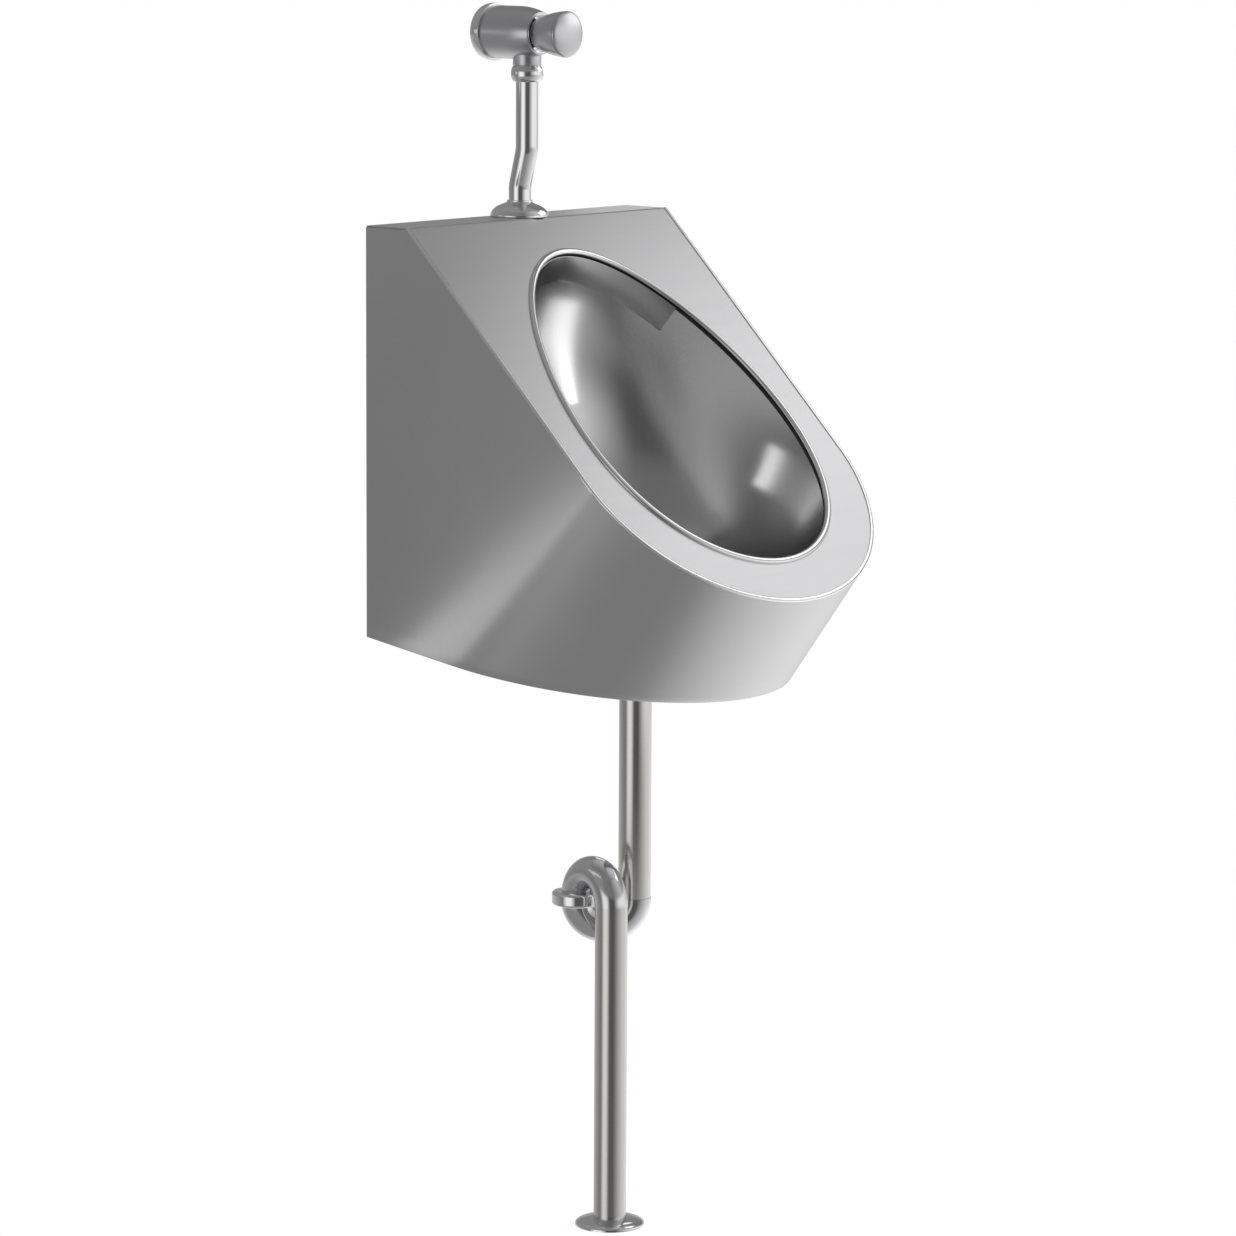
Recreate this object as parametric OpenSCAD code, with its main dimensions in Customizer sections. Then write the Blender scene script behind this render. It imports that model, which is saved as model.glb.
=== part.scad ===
// Wall-hung sheet steel urinal with push valve, flush tube and floor trap.
// Millimetres. X runs along the wall, +Y points into the wall, +Z is up.
// The origin is the middle of the wall hanger's bolt pattern, on the wall.

/* [Body] */
// Width of the body between its flat sides
body_w = 390; // [350:1:440]
// Height of the body's back edge
body_h = 400; // [370:1:480]
// Depth of the flat top deck
deck_d = 52; // [48:1:64]
// Slope of the face, measured from level
face_slope = 45; // [41:0.5:49]
// Straight length of each long edge of the face
cheek_l = 320; // [305:1:360]
// Length of the round nose beyond the straight edges
nose_l = 168; // [140:1:185]
// Squareness of the nose outline, where 2 is a plain ellipse
nose_n = 2; // [1.75:0.05:2.2]
// Straight depth of the bottom rim at each side
rim_side = 110; // [95:1:150]
// Depth of the round front of the bottom rim
rim_front = 213; // [175:1:225]
// Squareness of the bottom rim's round front
rim_n = 2; // [1.8:0.05:2.2]
// Dip of the bottom rim towards its front
rim_dip = 8.5; // [5:0.5:12]
// Thickness of the sheet steel
sheet = 1.5; // [1:0.1:2]
// Height of the bottom pan above the rim
pan_rise = 6; // [3:0.5:10]
// Width of the polished hem round the face
hem_w = 4; // [2:0.5:8]
// Height of the hem above the face
hem_h = 1; // [0.5:0.1:2]

/* [Mouth and bowl] */
// Width of the oval mouth
mouth_w = 300; // [270:1:320]
// Length of the oval mouth along the face
mouth_l = 394; // [370:1:410]
// Distance from the fold to the middle of the mouth
mouth_mid = 242; // [230:1:250]
// How much wider the mouth is towards its front
mouth_egg = 0.15; // [0:0.01:0.18]
// Width of the rolled bead round the mouth
bead_w = 7; // [4:0.5:9]
// Height of the bead above the face
bead_h = 3; // [2:0.5:5]
// Distance from the wall to the middle of the drain
drain_d = 196; // [188:1:206]
// Height of the drain seat above the body's back bottom edge
drain_rise = 48; // [44:1:54]
// Diameter of the flat drain seat
seat_d = 84; // [80:1:92]
// How far the bowl runs square to the face at its front
reach_front = 45; // [35:1:60]
// How far it does so at its sides
reach_side = 120; // [100:1:140]
// How far it does so at its top
reach_top = 85; // [75:1:95]
// How far the bowl's floor spreads from the seat at the front
flare_front = 70; // [55:1:85]
// How far the floor spreads at the sides
flare_side = 100; // [85:1:110]
// How far the floor spreads at the back
flare_back = 92; // [85:1:98]
// Fall of the bowl's floor towards the seat
floor_fall = 12; // [6:1:16]

/* [Spreader] */
// Half of the spreader's sweep round the top of the mouth, in degrees
spreader_sweep = 53; // [40:1:62]
// How far its lower edge stands inside the mouth's outline
spreader_gap = 12; // [10:0.5:14]
// Width of the spreader, square to the face
spreader_w = 27; // [20:1:30]
// Depth of its upper edge below the face
spreader_drop = 3; // [2:0.5:5]

/* [Wall fixing] */
// Gap between the wall and the body
wall_gap = 18; // [16:1:24]
// Depth of the bolt pattern below the deck
hanger_drop = 80; // [70:1:100]
// Width of the hanger plate
hanger_w = 260; // [240:1:300]
// Height of the hanger plate
hanger_h = 64; // [60:1:80]
// Thickness of the hanger plate
hanger_t = 4; // [3:0.5:6]
// Distance between the bolt holes along the wall
bolt_dx = 200; // [180:1:210]
// Distance between the bolt holes up the wall
bolt_dz = 36; // [30:1:40]
// Diameter of the bolt holes
bolt_hole_d = 9; // [6.5:0.5:11]
// Width of each hook
hook_w = 36; // [24:1:44]
// Distance between the hooks' middles
hook_dx = 110; // [90:1:130]
// Thickness of the hooks
hook_t = 3; // [2:0.5:4]
// Height of each hook's lip
hook_lip = 12; // [8:1:16]
// Diameter of the wall buffers
buffer_d = 22; // [16:1:30]
// Distance between the buffers' middles
buffer_dx = 260; // [220:1:300]
// Height of the buffers above the body's back bottom edge
buffer_rise = 40; // [30:1:60]

/* [Flush tube] */
// Outside diameter of the flush tube
tube_d = 22; // [19:0.5:24]
// Wall of the flush tube
tube_wall = 1; // [0.8:0.1:1.5]
// Angle of each of the tube's two bends
tube_bend = 14; // [12:1:20]
// Radius of the bends at the middle of the tube
tube_bend_r = 32; // [26:1:34]
// Straight length of the tube above its bends
tube_upper_l = 68; // [60:1:80]
// Diameter of the spud's body
spud_d = 30; // [28:0.5:34]
// Diameter of the spud's flange
spud_flange_d = 40; // [38:0.5:42]
// Length of the spud below the deck
spud_l = 24; // [22:0.5:28]
// Depth of the tube's end below the deck
tube_seat = 15; // [10:0.5:18]
// Diameter of the top rosette
rosette_d = 58; // [54:0.5:60]
// Height of the top rosette
rosette_h = 16; // [14:0.5:20]
// Radius of the feed elbow's bend
elbow_r = 16; // [15:0.5:18]
// Outside diameter of the feed elbow's pipe
elbow_pipe_d = 18; // [16:0.5:20]

/* [Push valve] */
// Height of the valve's axis above the deck
valve_rise = 180; // [170:1:230]
// Diameter of the valve's barrel
barrel_d = 52; // [50:0.5:56]
// Diameter of the barrel's front end
barrel_nose_d = 42; // [41:0.5:46]
// Distance from the wall to the barrel's front end
barrel_front = 71; // [70:0.5:76]
// Length of the barrel's taper towards its front end
taper_l = 28; // [22:1:32]
// Distance from the wall to the valve's outlet
outlet_d = 53; // [51:0.5:54]
// Bore of the outlet
outlet_bore = 16; // [12:0.5:16]
// Largest diameter of the wall flange
cup_d = 57; // [56:0.5:62]
// Depth of the wall flange
cup_l = 13; // [11:0.5:18]
// Outside diameter of the supply thread
supply_d = 20.955; // [20:0.005:21.5]
// Length of the supply thread behind the wall
supply_l = 12; // [8:1:30]
// Travel of the push button
button_travel = 6; // [4:0.5:6]
// Diameter of the button's neck
neck_d = 31; // [30:0.5:32]
// Diameter of the button's head
head_d = 45; // [42:0.5:50]
// Length of the button from its neck to its head
button_l = 33; // [30:0.5:40]
// Height of the button's domed cap
cap_h = 6; // [4:0.5:9]
// Diameter of the spindle
spindle_d = 8; // [6:0.5:9]
// Diameter of the coupling nut
coupling_d = 32; // [31:0.5:36]
// Height of the coupling nut
coupling_h = 16; // [15:0.5:20]

/* [Waste] */
// Diameter of the waste outlet's flange
waste_flange_d = 72; // [68:0.5:76]
// Diameter of the waste outlet's threaded body
waste_d = 41; // [40:0.5:44]
// Length of the waste outlet below the seat
waste_l = 46; // [44:0.5:50]
// Diameter of the strainer
strainer_d = 52; // [48:0.5:56]
// Diameter of the strainer's holes
strainer_hole_d = 6; // [4:0.5:6]
// Outside diameter of the tailpipe
tail_d = 32; // [31:0.5:33]
// Wall of the tailpipe
tail_wall = 1.2; // [1:0.1:1.5]

/* [Trap and floor pipe] */
// Drop from the body's back bottom edge to the trap's joints
trap_drop = 262; // [240:1:300]
// Distance between the two ends of each bend
trap_c = 56.5; // [53:0.5:60]
// Compass turn of the lower bend, from +X
riser_turn = 139; // [130:1:150]
// Compass turn of the upper bend, from +X
spill_turn = 256; // [250:1:270]
// Diameter of the lower bend
lower_d = 33; // [32.5:0.5:34]
// Outside diameter of the standpipe
stand_d = 32; // [31:0.5:33]
// Wall of the bends' spigots, inside the pipes that they carry
spigot_wall = 1.5; // [1.2:0.1:2]
// Diameter of the union nut
union_d = 51; // [50:0.5:54]
// Height of the union nut
union_h = 13; // [12:0.5:15]
// Height of the body's back bottom edge above the floor
floor_drop = 580; // [540:1:640]
// Length of the standpipe below the floor
spigot_l = 25; // [15:1:60]
// Diameter of the standpipe's drawn-in end below the floor
spigot_d = 30; // [28:0.5:30]
// Diameter of the floor flange
floor_flange_d = 68; // [60:0.5:80]
// Height of the floor flange
floor_flange_h = 7; // [5:0.5:12]

/* [Clearances] */
// Radial clearance of a round running fit
run_fit = 0.05; // [0.02:0.01:0.08]
// Clearance between sheets that lie side by side
sheet_fit = 0.2; // [0.1:0.05:0.4]
// Radial clearance of a drilled hole round a fitting
hole_fit = 0.3; // [0.2:0.05:0.6]

/* [Hidden] */
$fn = 96;
arc_steps = 44;
oval_steps = 56;
bowl_steps = 14;
curve_steps = 8;

// How far a cutting shape runs past the surface that it cuts
past = 5;

// How far a straight pipe laps into a bend, and how much thinner the bend is drawn
lap = 0.05;
bend_thin = 0.1;

// Main heights and distances from the wall
half_w = body_w / 2;
top_z = hanger_drop;
bottom_z = top_z - body_h;
fold_d = wall_gap + deck_d;
fold_under = fold_d - sheet * tan(face_slope / 2);
seat_z = bottom_z + drain_rise;
inlet_d = wall_gap + deck_d / 2;
valve_z = top_z + valve_rise;
joint_z = bottom_z - trap_drop;
floor_z = bottom_z - floor_drop;
bend_r = trap_c / 2;

// Play of the hooks in the back plate's slots, and of the tailpipe in the bottom pan
slot_play = 2;
pan_play = 4;
slot_h = hook_t + hook_lip + slot_play;
slot_w = hook_w + 2 * slot_play;

// Upper side of the hooks, on which the back plate's slots rest
hook_z = hanger_h / 2 - hook_t - hook_lip;

// Gap between the spreader's upper edge and the bowl's faceted wall
spreader_fit = 0.7;

// Flush inlet
gasket_t = 1.5;
spud_flange_t = 2.5;
spud_nut_h = 7;
spud_nut_w = 2;
tube_r = tube_d / 2;
tube_bore_r = tube_r - tube_wall;
spud_r = spud_d / 2;
spud_flange_r = spud_flange_d / 2;
rosette_r = rosette_d / 2;
rosette_wall = 1.2;
rosette_rim = 2;
rosette_collar = 1.5;

// Feed elbow: its socket round the spud, and where its axis meets the bowl's back wall
elbow_socket_l = 11;
elbow_socket_wall = 2.5;
elbow_floor = 4;
elbow_pipe_r = elbow_pipe_d / 2;
elbow_top = top_z - spud_l - elbow_floor;
feed_z = elbow_top - elbow_r;
feed_bore_r = elbow_pipe_r - sheet;
mouth_top_z = top_z - (mouth_mid - mouth_l / 2) * sin(face_slope);
feed_t = (mouth_top_z - feed_z) / (3 * reach_top * cos(face_slope));

// Push valve, with distances from the wall along its axis
barrel_r = barrel_d / 2;
barrel_rear = 3;
nose_r = barrel_nose_d / 2;
nose_wall = 1.5;
bonnet_wall = 3;
button_play = 1;
bonnet_l = bonnet_wall + button_travel + button_play;
bonnet_r = nose_r - nose_wall;
bonnet_d = barrel_front - bonnet_l;
bonnet_seat = 1.5;
chamber_r = bonnet_r - bonnet_seat;
seat_t = 4;
seat_bore_w = 5;
seat_gap = 1;
seat_front = bonnet_d - outlet_bore - seat_gap;
disc_t = 4;
disc_w = 8;
disc_front = seat_front - seat_t;
thread_r = supply_d / 2;
nipple_wall = 4;
nipple_bore_r = thread_r - nipple_wall;
nipple_waist = 1;
nipple_in = 14;
nipple_end = barrel_rear + nipple_in;
inlet_chamber_r = 14;

// Wall flange
cup_r = cup_d / 2;
cup_rear_r = 24;
cup_wall = 2.5;
cup_round = 1;

// Valve outlet: the boss, its spigot inside the coupling nut, and the washer below
outlet_nut_wall = 2;
boss_l = 5.5;
outlet_spigot_l = 9;
washer_t = 1.5;
boss_r = coupling_d / 2 - outlet_nut_wall;
boss_end = barrel_r + boss_l;
spigot_end = boss_end + outlet_spigot_l;
spigot_r = boss_r - outlet_nut_wall;
coupling_lip = 4;
coupling_round = 5;

// Spindle and push button
spindle_r = spindle_d / 2;
spindle_collar_w = 4;
spindle_collar_t = 1.5;
seal_t = 2;
seal_w = 2;
neck_in = 0.5;
neck_rear = barrel_front - neck_in;
head_front = neck_rear + button_l;
head_r = head_d / 2;
button_wall = 1.6;
flare_n = 1.6;
web_t = 3;
web_depth = 2;
web_rear = head_front - web_t - web_depth;
cap_rim = 1;
cap_foot_in = 3;
skirt_play = 0.7;
skirt_r = flare_r(neck_rear + button_travel + neck_in) + skirt_play;
spring_turns = 6;
spring_wire_r = 0.8;
spring_r = spindle_r + 6.4;

// Flush tube: its step towards the wall, and the heights where its bends begin and end
tube_step = outlet_d - inlet_d;
slant_l = (tube_step - 2 * tube_bend_r * (1 - cos(tube_bend))) / sin(tube_bend);
bend_h = tube_bend_r * sin(tube_bend);
tube_top = valve_z - spigot_end - washer_t;
bend_top = tube_top - tube_upper_l;
bend_low = bend_top - 2 * bend_h - slant_l * cos(tube_bend);
tube_low = top_z - tube_seat;

// Waste outlet, strainer and tailpipe
waste_r = waste_d / 2;
waste_flange_t = 2.5;
waste_gasket_t = 2.5;
gasket_in = 6;
waste_end = seat_z - waste_l;
lock_h = 8;
lock_w = 9;
strainer_t = 2;
strainer_pitch = 0.17;
bar_drop = 12;
bar_w = 8;
bar_h = 5;
bar_in = 1;
screw_r = 2.5;
screw_head_w = 2.5;
screw_head_h = 2;
screw_slot_w = 1.2;
tail_r = tail_d / 2;
tail_in = 14;
tail_nut_wall = 4.5;
tail_nut_h = 18;
tail_nut_floor = 4;
tail_washer_h = 6;

// Trap: its bends, their spigots and the union between them
lower_r = lower_d / 2;
stand_r = stand_d / 2;
stand_wall = 1.5;
socket_step = 0.3;
bore_step = 0.5;
upper_r = stand_r + socket_step;
spigot_in = 12;
lower_spigot_r = tail_r - tail_wall - run_fit;
lower_bore_r = lower_spigot_r - spigot_wall;
upper_spigot_r = stand_r - stand_wall - run_fit;
upper_bore_r = upper_spigot_r - spigot_wall;
trap_washer_t = 2;
lower_top = joint_z - trap_washer_t / 2;
upper_low = joint_z + trap_washer_t / 2;
union_r = union_d / 2;
union_wall = 3;
union_chamfer = 1.5;
union_play = 0.1;
lip_play = 2.6;
flange_h = 2.5;
flange_in = 1.5;
collar_r = union_r - union_wall;
collar_h = (union_h - trap_washer_t) / 2;
flange_r = collar_r - flange_in;

// Standpipe's drawn-in end, with a groove above it, and the floor flange
spigot_out_r = spigot_d / 2;
groove_h = 0.5;
groove_in = 0.3;
floor_rim = 1.5;
floor_collar = 1;

// Shared shapes

// A tube wall through a list of closed sections; loop joins the last one to the first.
module skin(sections, loop = false) {
    n = len(sections[0]);
    m = len(sections);
    last = loop ? m - 1 : m - 2;
    side = [for (i = [0:last], j = [0:n - 1])
        let (i2 = (i + 1) % m, j2 = (j + 1) % n)
        each [[i * n + j, i2 * n + j2, i * n + j2], [i * n + j, i2 * n + j, i2 * n + j2]]];
    caps = loop ? [] : [[for (j = [0:n - 1]) j], [for (j = [n - 1:-1:0]) (m - 1) * n + j]];
    polyhedron(points = [for (s = sections) each s], faces = concat(side, caps));
}

// A ring or pipe with its lower end at height z.
module pipe(z, h, r_out, r_in) {
    translate([0, 0, z])
        difference() {
            cylinder(h = h, r = r_out);
            translate([0, 0, -past]) cylinder(h = h + 2 * past, r = r_in);
        }
}

// A bend of the given angle in the XZ plane, starting at [r, 0, 0] and turning towards +Z.
module arc_solid(r, angle, pipe_r) {
    rotate([90, 0, 0])
        rotate_extrude(angle = angle)
            translate([r, 0]) circle(r = pipe_r);
}

// The same bend as a hollow pipe.
module arc_pipe(r, angle, r_out, r_in) {
    rotate([90, 0, 0])
        rotate_extrude(angle = angle)
            translate([r, 0])
                difference() {
                    circle(r = r_out);
                    circle(r = r_in);
                }
}

function signed_pow(v, p) = sign(v) * pow(abs(v), p);

// A rounded front: half ellipse of half-width w and depth l, squarer as n grows.
function round_front(w, l, n) = [for (i = [0:arc_steps])
    let (a = 180 * i / arc_steps)
    [-w * signed_pow(cos(a), 2 / n), l * pow(sin(a), 2 / n)]];

// The point on the face at x and q down the slope from the fold, h proud of the face.
function on_face(x, q, h) = [
    x,
    -(fold_d + q * cos(face_slope)) - h * sin(face_slope),
    top_z - q * sin(face_slope) + h * cos(face_slope)];

// Places children in the face's own frame: X along the fold, -Y down the slope, Z outwards.
module at_face() {
    translate([0, -fold_d, top_z]) rotate([face_slope, 0, 0]) children();
}

// Places children in the bottom rim's dipping plane, lifted by rise.
module at_rim(rise) {
    translate([0, -wall_gap, bottom_z + rise]) rotate([rim_dip, 0, 0]) children();
}

// Places children with their Z axis pointing out of the wall along the valve's axis.
module at_valve() {
    translate([0, 0, valve_z]) rotate([90, 0, 0]) children();
}

// Places children on the drain's axis.
module at_drain() {
    translate([0, -drain_d, 0]) children();
}

// Body

// The face's outline, drawn in by inset, from the fold line raised by lift.
function face_outline(inset, lift) = concat(
    [[-(half_w - inset), lift]],
    [for (p = round_front(half_w - inset, nose_l - inset, nose_n)) [p.x, -(cheek_l + p.y)]],
    [[half_w - inset, lift]]);

// The shell's upper edge, under the deck and the face, drawn in by inset.
function shell_top(inset) =
    let (w = half_w - inset)
    concat(
        [[-w, -wall_gap, top_z - sheet], [-w, -fold_under, top_z - sheet]],
        [for (p = round_front(w, nose_l - inset, nose_n)) on_face(p.x, cheek_l + p.y, -sheet)],
        [[w, -fold_under, top_z - sheet], [w, -wall_gap, top_z - sheet]]);

// A point of the bottom rim at x, at a depth from the body's back.
function on_rim(x, depth) = [x, -(wall_gap + depth), bottom_z - depth * tan(rim_dip)];

// The shell's lower edge, point for point below the upper one.
function shell_bottom(inset) =
    let (w = half_w - inset, fold_share = deck_d / (deck_d + cheek_l * cos(face_slope)))
    concat(
        [on_rim(-w, 0), on_rim(-w, rim_side * fold_share)],
        [for (p = round_front(w, rim_front - inset, rim_n)) on_rim(p.x, rim_side + p.y)],
        [on_rim(w, rim_side * fold_share), on_rim(w, 0)]);

// Height of a point above the bottom rim's plane.
function over_rim(p) = p.z - bottom_z - (p.y + wall_gap) * tan(rim_dip);

module outer_shell() {
    color("silver") {
        top_out = shell_top(0);
        top_in = shell_top(sheet);
        low_out = shell_bottom(0);
        low_in = shell_bottom(sheet);
        skin([for (i = [0:len(top_out) - 1]) [top_out[i], low_out[i], low_in[i], top_in[i]]]);
    }
}

module face_panel() {
    color("lightgray")
        difference() {
            union() {
                translate([-half_w, -fold_d, top_z - sheet]) cube([body_w, deck_d, sheet]);
                at_face()
                    translate([0, 0, -sheet])
                        linear_extrude(height = sheet) polygon(face_outline(0, 0));
            }
            at_face()
                translate([0, 0, -past])
                    linear_extrude(height = 2 * past) polygon(mouth_outline(sheet_fit));
            at_inlet() translate([0, 0, top_z - past]) cylinder(h = 2 * past, r = spud_r + hole_fit);
        }
}

module face_hem() {
    color("white")
        at_face()
            linear_extrude(height = hem_h)
                difference() {
                    polygon(face_outline(0, 0));
                    polygon(face_outline(hem_w, 2 * hem_w));
                }
}

module back_plate() {
    w = body_w - 2 * (sheet + sheet_fit);
    color("gray")
        difference() {
            translate([-w / 2, -(wall_gap + sheet), bottom_z + sheet_fit])
                cube([w, sheet, body_h - sheet - sheet_fit]);
            for (s = [-1, 1])
                translate([s * hook_dx / 2 - slot_w / 2, -(wall_gap + sheet + past), hook_z - slot_h])
                    cube([slot_w, sheet + 2 * past, slot_h]);
        }
}

module bottom_pan() {
    inset = sheet + sheet_fit;
    top = shell_top(inset);
    low = shell_bottom(inset);
    flat = [for (i = [1:len(top) - 2])
        let (p = low[i] + (top[i] - low[i]) * pan_rise / over_rim(top[i]))
        [p.x, (p.y + wall_gap) / cos(rim_dip)]];
    back = -(inset + sheet * tan(rim_dip)) / cos(rim_dip);
    outline = concat([[low[0].x, back]], flat, [[-low[0].x, back]]);
    color("gray")
        difference() {
            at_rim(pan_rise) linear_extrude(height = sheet) polygon(outline);
            at_drain()
                translate([0, 0, bottom_z - body_h / 2]) cylinder(h = body_h, r = tail_r + pan_play);
        }
}

// Mouth and bowl

// The mouth's outline point at angle a, grown by g: 0 degrees is its front, 180 its top.
function mouth_point(a, g) = [
    (mouth_w / 2 + g) * sin(a) * (1 + mouth_egg * cos(a)),
    mouth_mid + (mouth_l / 2 + g) * cos(a)];

function mouth_outline(g) = [for (i = [0:oval_steps - 1])
    let (p = mouth_point(360 * i / oval_steps, g))
    [p.x, -p.y]];

// Blends the front, side and back values of a length round the mouth.
function round_mix(a, front, side, back) =
    side * pow(sin(a), 2) + (cos(a) > 0 ? front : back) * pow(cos(a), 2);

// A point on a cubic curve through a and d that heads for b and leaves c.
function cubic(a, b, c, d, t) =
    a * pow(1 - t, 3) + 3 * b * t * pow(1 - t, 2) + 3 * c * pow(t, 2) * (1 - t) + d * pow(t, 3);

// The bowl's wall at angle a, from the mouth at t = 0 to the seat at t = 1, grown by g.
function bowl_point(a, t, g) =
    let (
        edge = mouth_point(a, g),
        reach = round_mix(a, reach_front, reach_side, reach_top),
        foot_r = seat_d / 2 + round_mix(a, flare_front, flare_side, flare_back),
        start = on_face(edge.x, edge.y, 0),
        square = on_face(edge.x, edge.y, -reach),
        seat = seat_point(a, seat_d / 2, sheet + g),
        foot = seat_point(a, foot_r, sheet + g) + [0, 0, floor_fall])
    cubic(start, square, foot, seat, t);

// A point at angle a and radius r round the drain, at a depth below the seat.
function seat_point(a, r, depth) = [r * sin(a), -(drain_d + r * cos(a)), seat_z - depth];

module bowl() {
    hole_r = waste_r + hole_fit;
    sections = [for (i = [0:oval_steps - 1])
        let (a = -360 * i / oval_steps)
        concat(
            [for (k = [0:bowl_steps]) bowl_point(a, k / bowl_steps, 0)],
            [seat_point(a, hole_r, sheet), seat_point(a, hole_r, 0)],
            [for (k = [bowl_steps:-1:0]) bowl_point(a, k / bowl_steps, -sheet)])];
    color("darkgray")
        difference() {
            skin(sections, loop = true);
            translate([0, 0, feed_z]) rotate([90, 0, 0]) cylinder(h = drain_d, r = feed_bore_r);
        }
}

module mouth_bead() {
    r = bead_w / 2;
    arc = 6;
    sections = [for (i = [0:oval_steps - 1])
        let (a = 360 * i / oval_steps)
        [for (k = [0:arc])
            let (
                b = 180 * k / arc,
                p = mouth_point(a, r * cos(b) + sheet_fit))
            on_face(p.x, p.y, bead_h * sin(b))]];
    color("white") skin(sections, loop = true);
}

// The spreader hangs from the bowl's wall under the rim and leans away from it.
module spreader() {
    steps = 20;
    low = spreader_drop + spreader_w;
    sections = [for (i = [0:steps])
        let (
            a = 180 + spreader_sweep * (2 * i / steps - 1),
            seat = wall_inset(a, spreader_drop) + spreader_fit)
        [strip_point(a, seat, spreader_drop), strip_point(a, spreader_gap, low),
            strip_point(a, spreader_gap + sheet, low), strip_point(a, seat + sheet, spreader_drop)]];
    color("gray") skin(sections);
}

// A point at angle a round the mouth, inside its outline by inset and below the face by depth.
function strip_point(a, inset, depth) =
    let (p = mouth_point(a, -inset))
    on_face(p.x, p.y, -depth);

// How far inside the mouth's outline the bowl's inner wall stands, at a depth below the face.
function wall_inset(a, depth) =
    let (
        t = depth / (3 * round_mix(a, reach_front, reach_side, reach_top)),
        p = bowl_point(a, t, -sheet),
        edge = mouth_point(a, 0))
    norm([p.x, in_face_q(p)] - edge);

// A point's distance down the slope from the fold.
function in_face_q(p) = (top_z - p.z) * sin(face_slope) - (p.y + fold_d) * cos(face_slope);

// Wall fixing

module wall_hanger() {
    color("dimgray") {
        difference() {
            translate([-hanger_w / 2, -hanger_t, -hanger_h / 2])
                cube([hanger_w, hanger_t, hanger_h]);
            for (x = [-1, 1], z = [-1, 1])
                translate([x * bolt_dx / 2, past, z * bolt_dz / 2])
                    rotate([90, 0, 0]) cylinder(h = hanger_t + 2 * past, r = bolt_hole_d / 2);
        }
        for (s = [-1, 1])
            translate([s * hook_dx / 2 - hook_w / 2, 0, 0]) hook();
    }
}

module hook() {
    lip_d = wall_gap + sheet + sheet_fit;
    translate([0, -(lip_d + hook_t), hook_z - hook_t])
        cube([hook_w, lip_d + hook_t - hanger_t, hook_t]);
    translate([0, -(lip_d + hook_t), hook_z - hook_t])
        cube([hook_w, hook_t, hook_t + hook_lip]);
}

module wall_buffers() {
    color("black")
        for (s = [-1, 1])
            translate([s * buffer_dx / 2, 0, bottom_z + buffer_rise])
                rotate([90, 0, 0]) cylinder(h = wall_gap, r = buffer_d / 2);
}

// Flush inlet

// Places children on the axis of the flush inlet.
module at_inlet() {
    translate([0, -inlet_d, 0]) children();
}

module inlet_spud() {
    top = top_z + gasket_t;
    color("silver")
        at_inlet()
            difference() {
                union() {
                    translate([0, 0, top_z - spud_l])
                        cylinder(h = spud_l + gasket_t + spud_flange_t, r = spud_r);
                    translate([0, 0, top]) cylinder(h = spud_flange_t, r = spud_flange_r);
                }
                translate([0, 0, tube_low]) cylinder(h = spud_l + past, r = tube_r + run_fit);
                translate([0, 0, top_z - spud_l - past]) cylinder(h = spud_l + past, r = tube_bore_r);
            }
}

module spud_gasket() {
    color("black") at_inlet() pipe(top_z, gasket_t, spud_flange_r, spud_r + run_fit);
}

module spud_locknut() {
    low = top_z - sheet - spud_nut_h;
    color("silver")
        at_inlet()
            difference() {
                translate([0, 0, low]) cylinder(h = spud_nut_h, r = spud_flange_r + spud_nut_w, $fn = 6);
                translate([0, 0, low - past]) cylinder(h = spud_nut_h + 2 * past, r = spud_r + run_fit);
            }
}

// The elbow slips over the spud's end, turns forwards and ends on the bowl's back wall.
module feed_elbow() {
    color("gray")
        difference() {
            union() {
                at_inlet() translate([0, 0, elbow_top])
                    cylinder(h = elbow_socket_l + elbow_floor, r = spud_r + elbow_socket_wall);
                elbow_run(elbow_pipe_r);
            }
            at_inlet() translate([0, 0, top_z - spud_l]) cylinder(h = spud_l, r = spud_r + run_fit);
            at_inlet() translate([0, 0, elbow_top - lap]) cylinder(h = spud_l, r = feed_bore_r);
            elbow_run(feed_bore_r);
            behind_bowl_wall();
        }
}

// The elbow's curved run: a quarter bend, drawn slightly thin, then straight forwards.
module elbow_run(r) {
    translate([0, -(inlet_d + elbow_r), elbow_top])
        rotate([0, 0, 90])
            mirror([0, 0, 1])
                arc_solid(elbow_r, 90, r - bend_thin);
    translate([0, -(inlet_d + elbow_r) + lap, feed_z])
        rotate([90, 0, 0]) cylinder(h = drain_d / 2, r = r);
    at_inlet() translate([0, 0, elbow_top - lap]) cylinder(h = elbow_floor / 2, r = r);
}

// Everything in front of a plane that touches the bowl's back wall where the elbow meets it.
module behind_bowl_wall() {
    meet = bowl_point(180, feed_t, 0);
    ahead = bowl_point(180, 1.1 * feed_t, 0);
    lean = atan2(ahead.y - meet.y, meet.z - ahead.z);
    translate([0, meet.y, meet.z])
        rotate([lean, 0, 0])
            translate([-body_w / 2, sheet_fit - body_w, -body_w / 2]) cube([body_w, body_w, body_w]);
}

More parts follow.
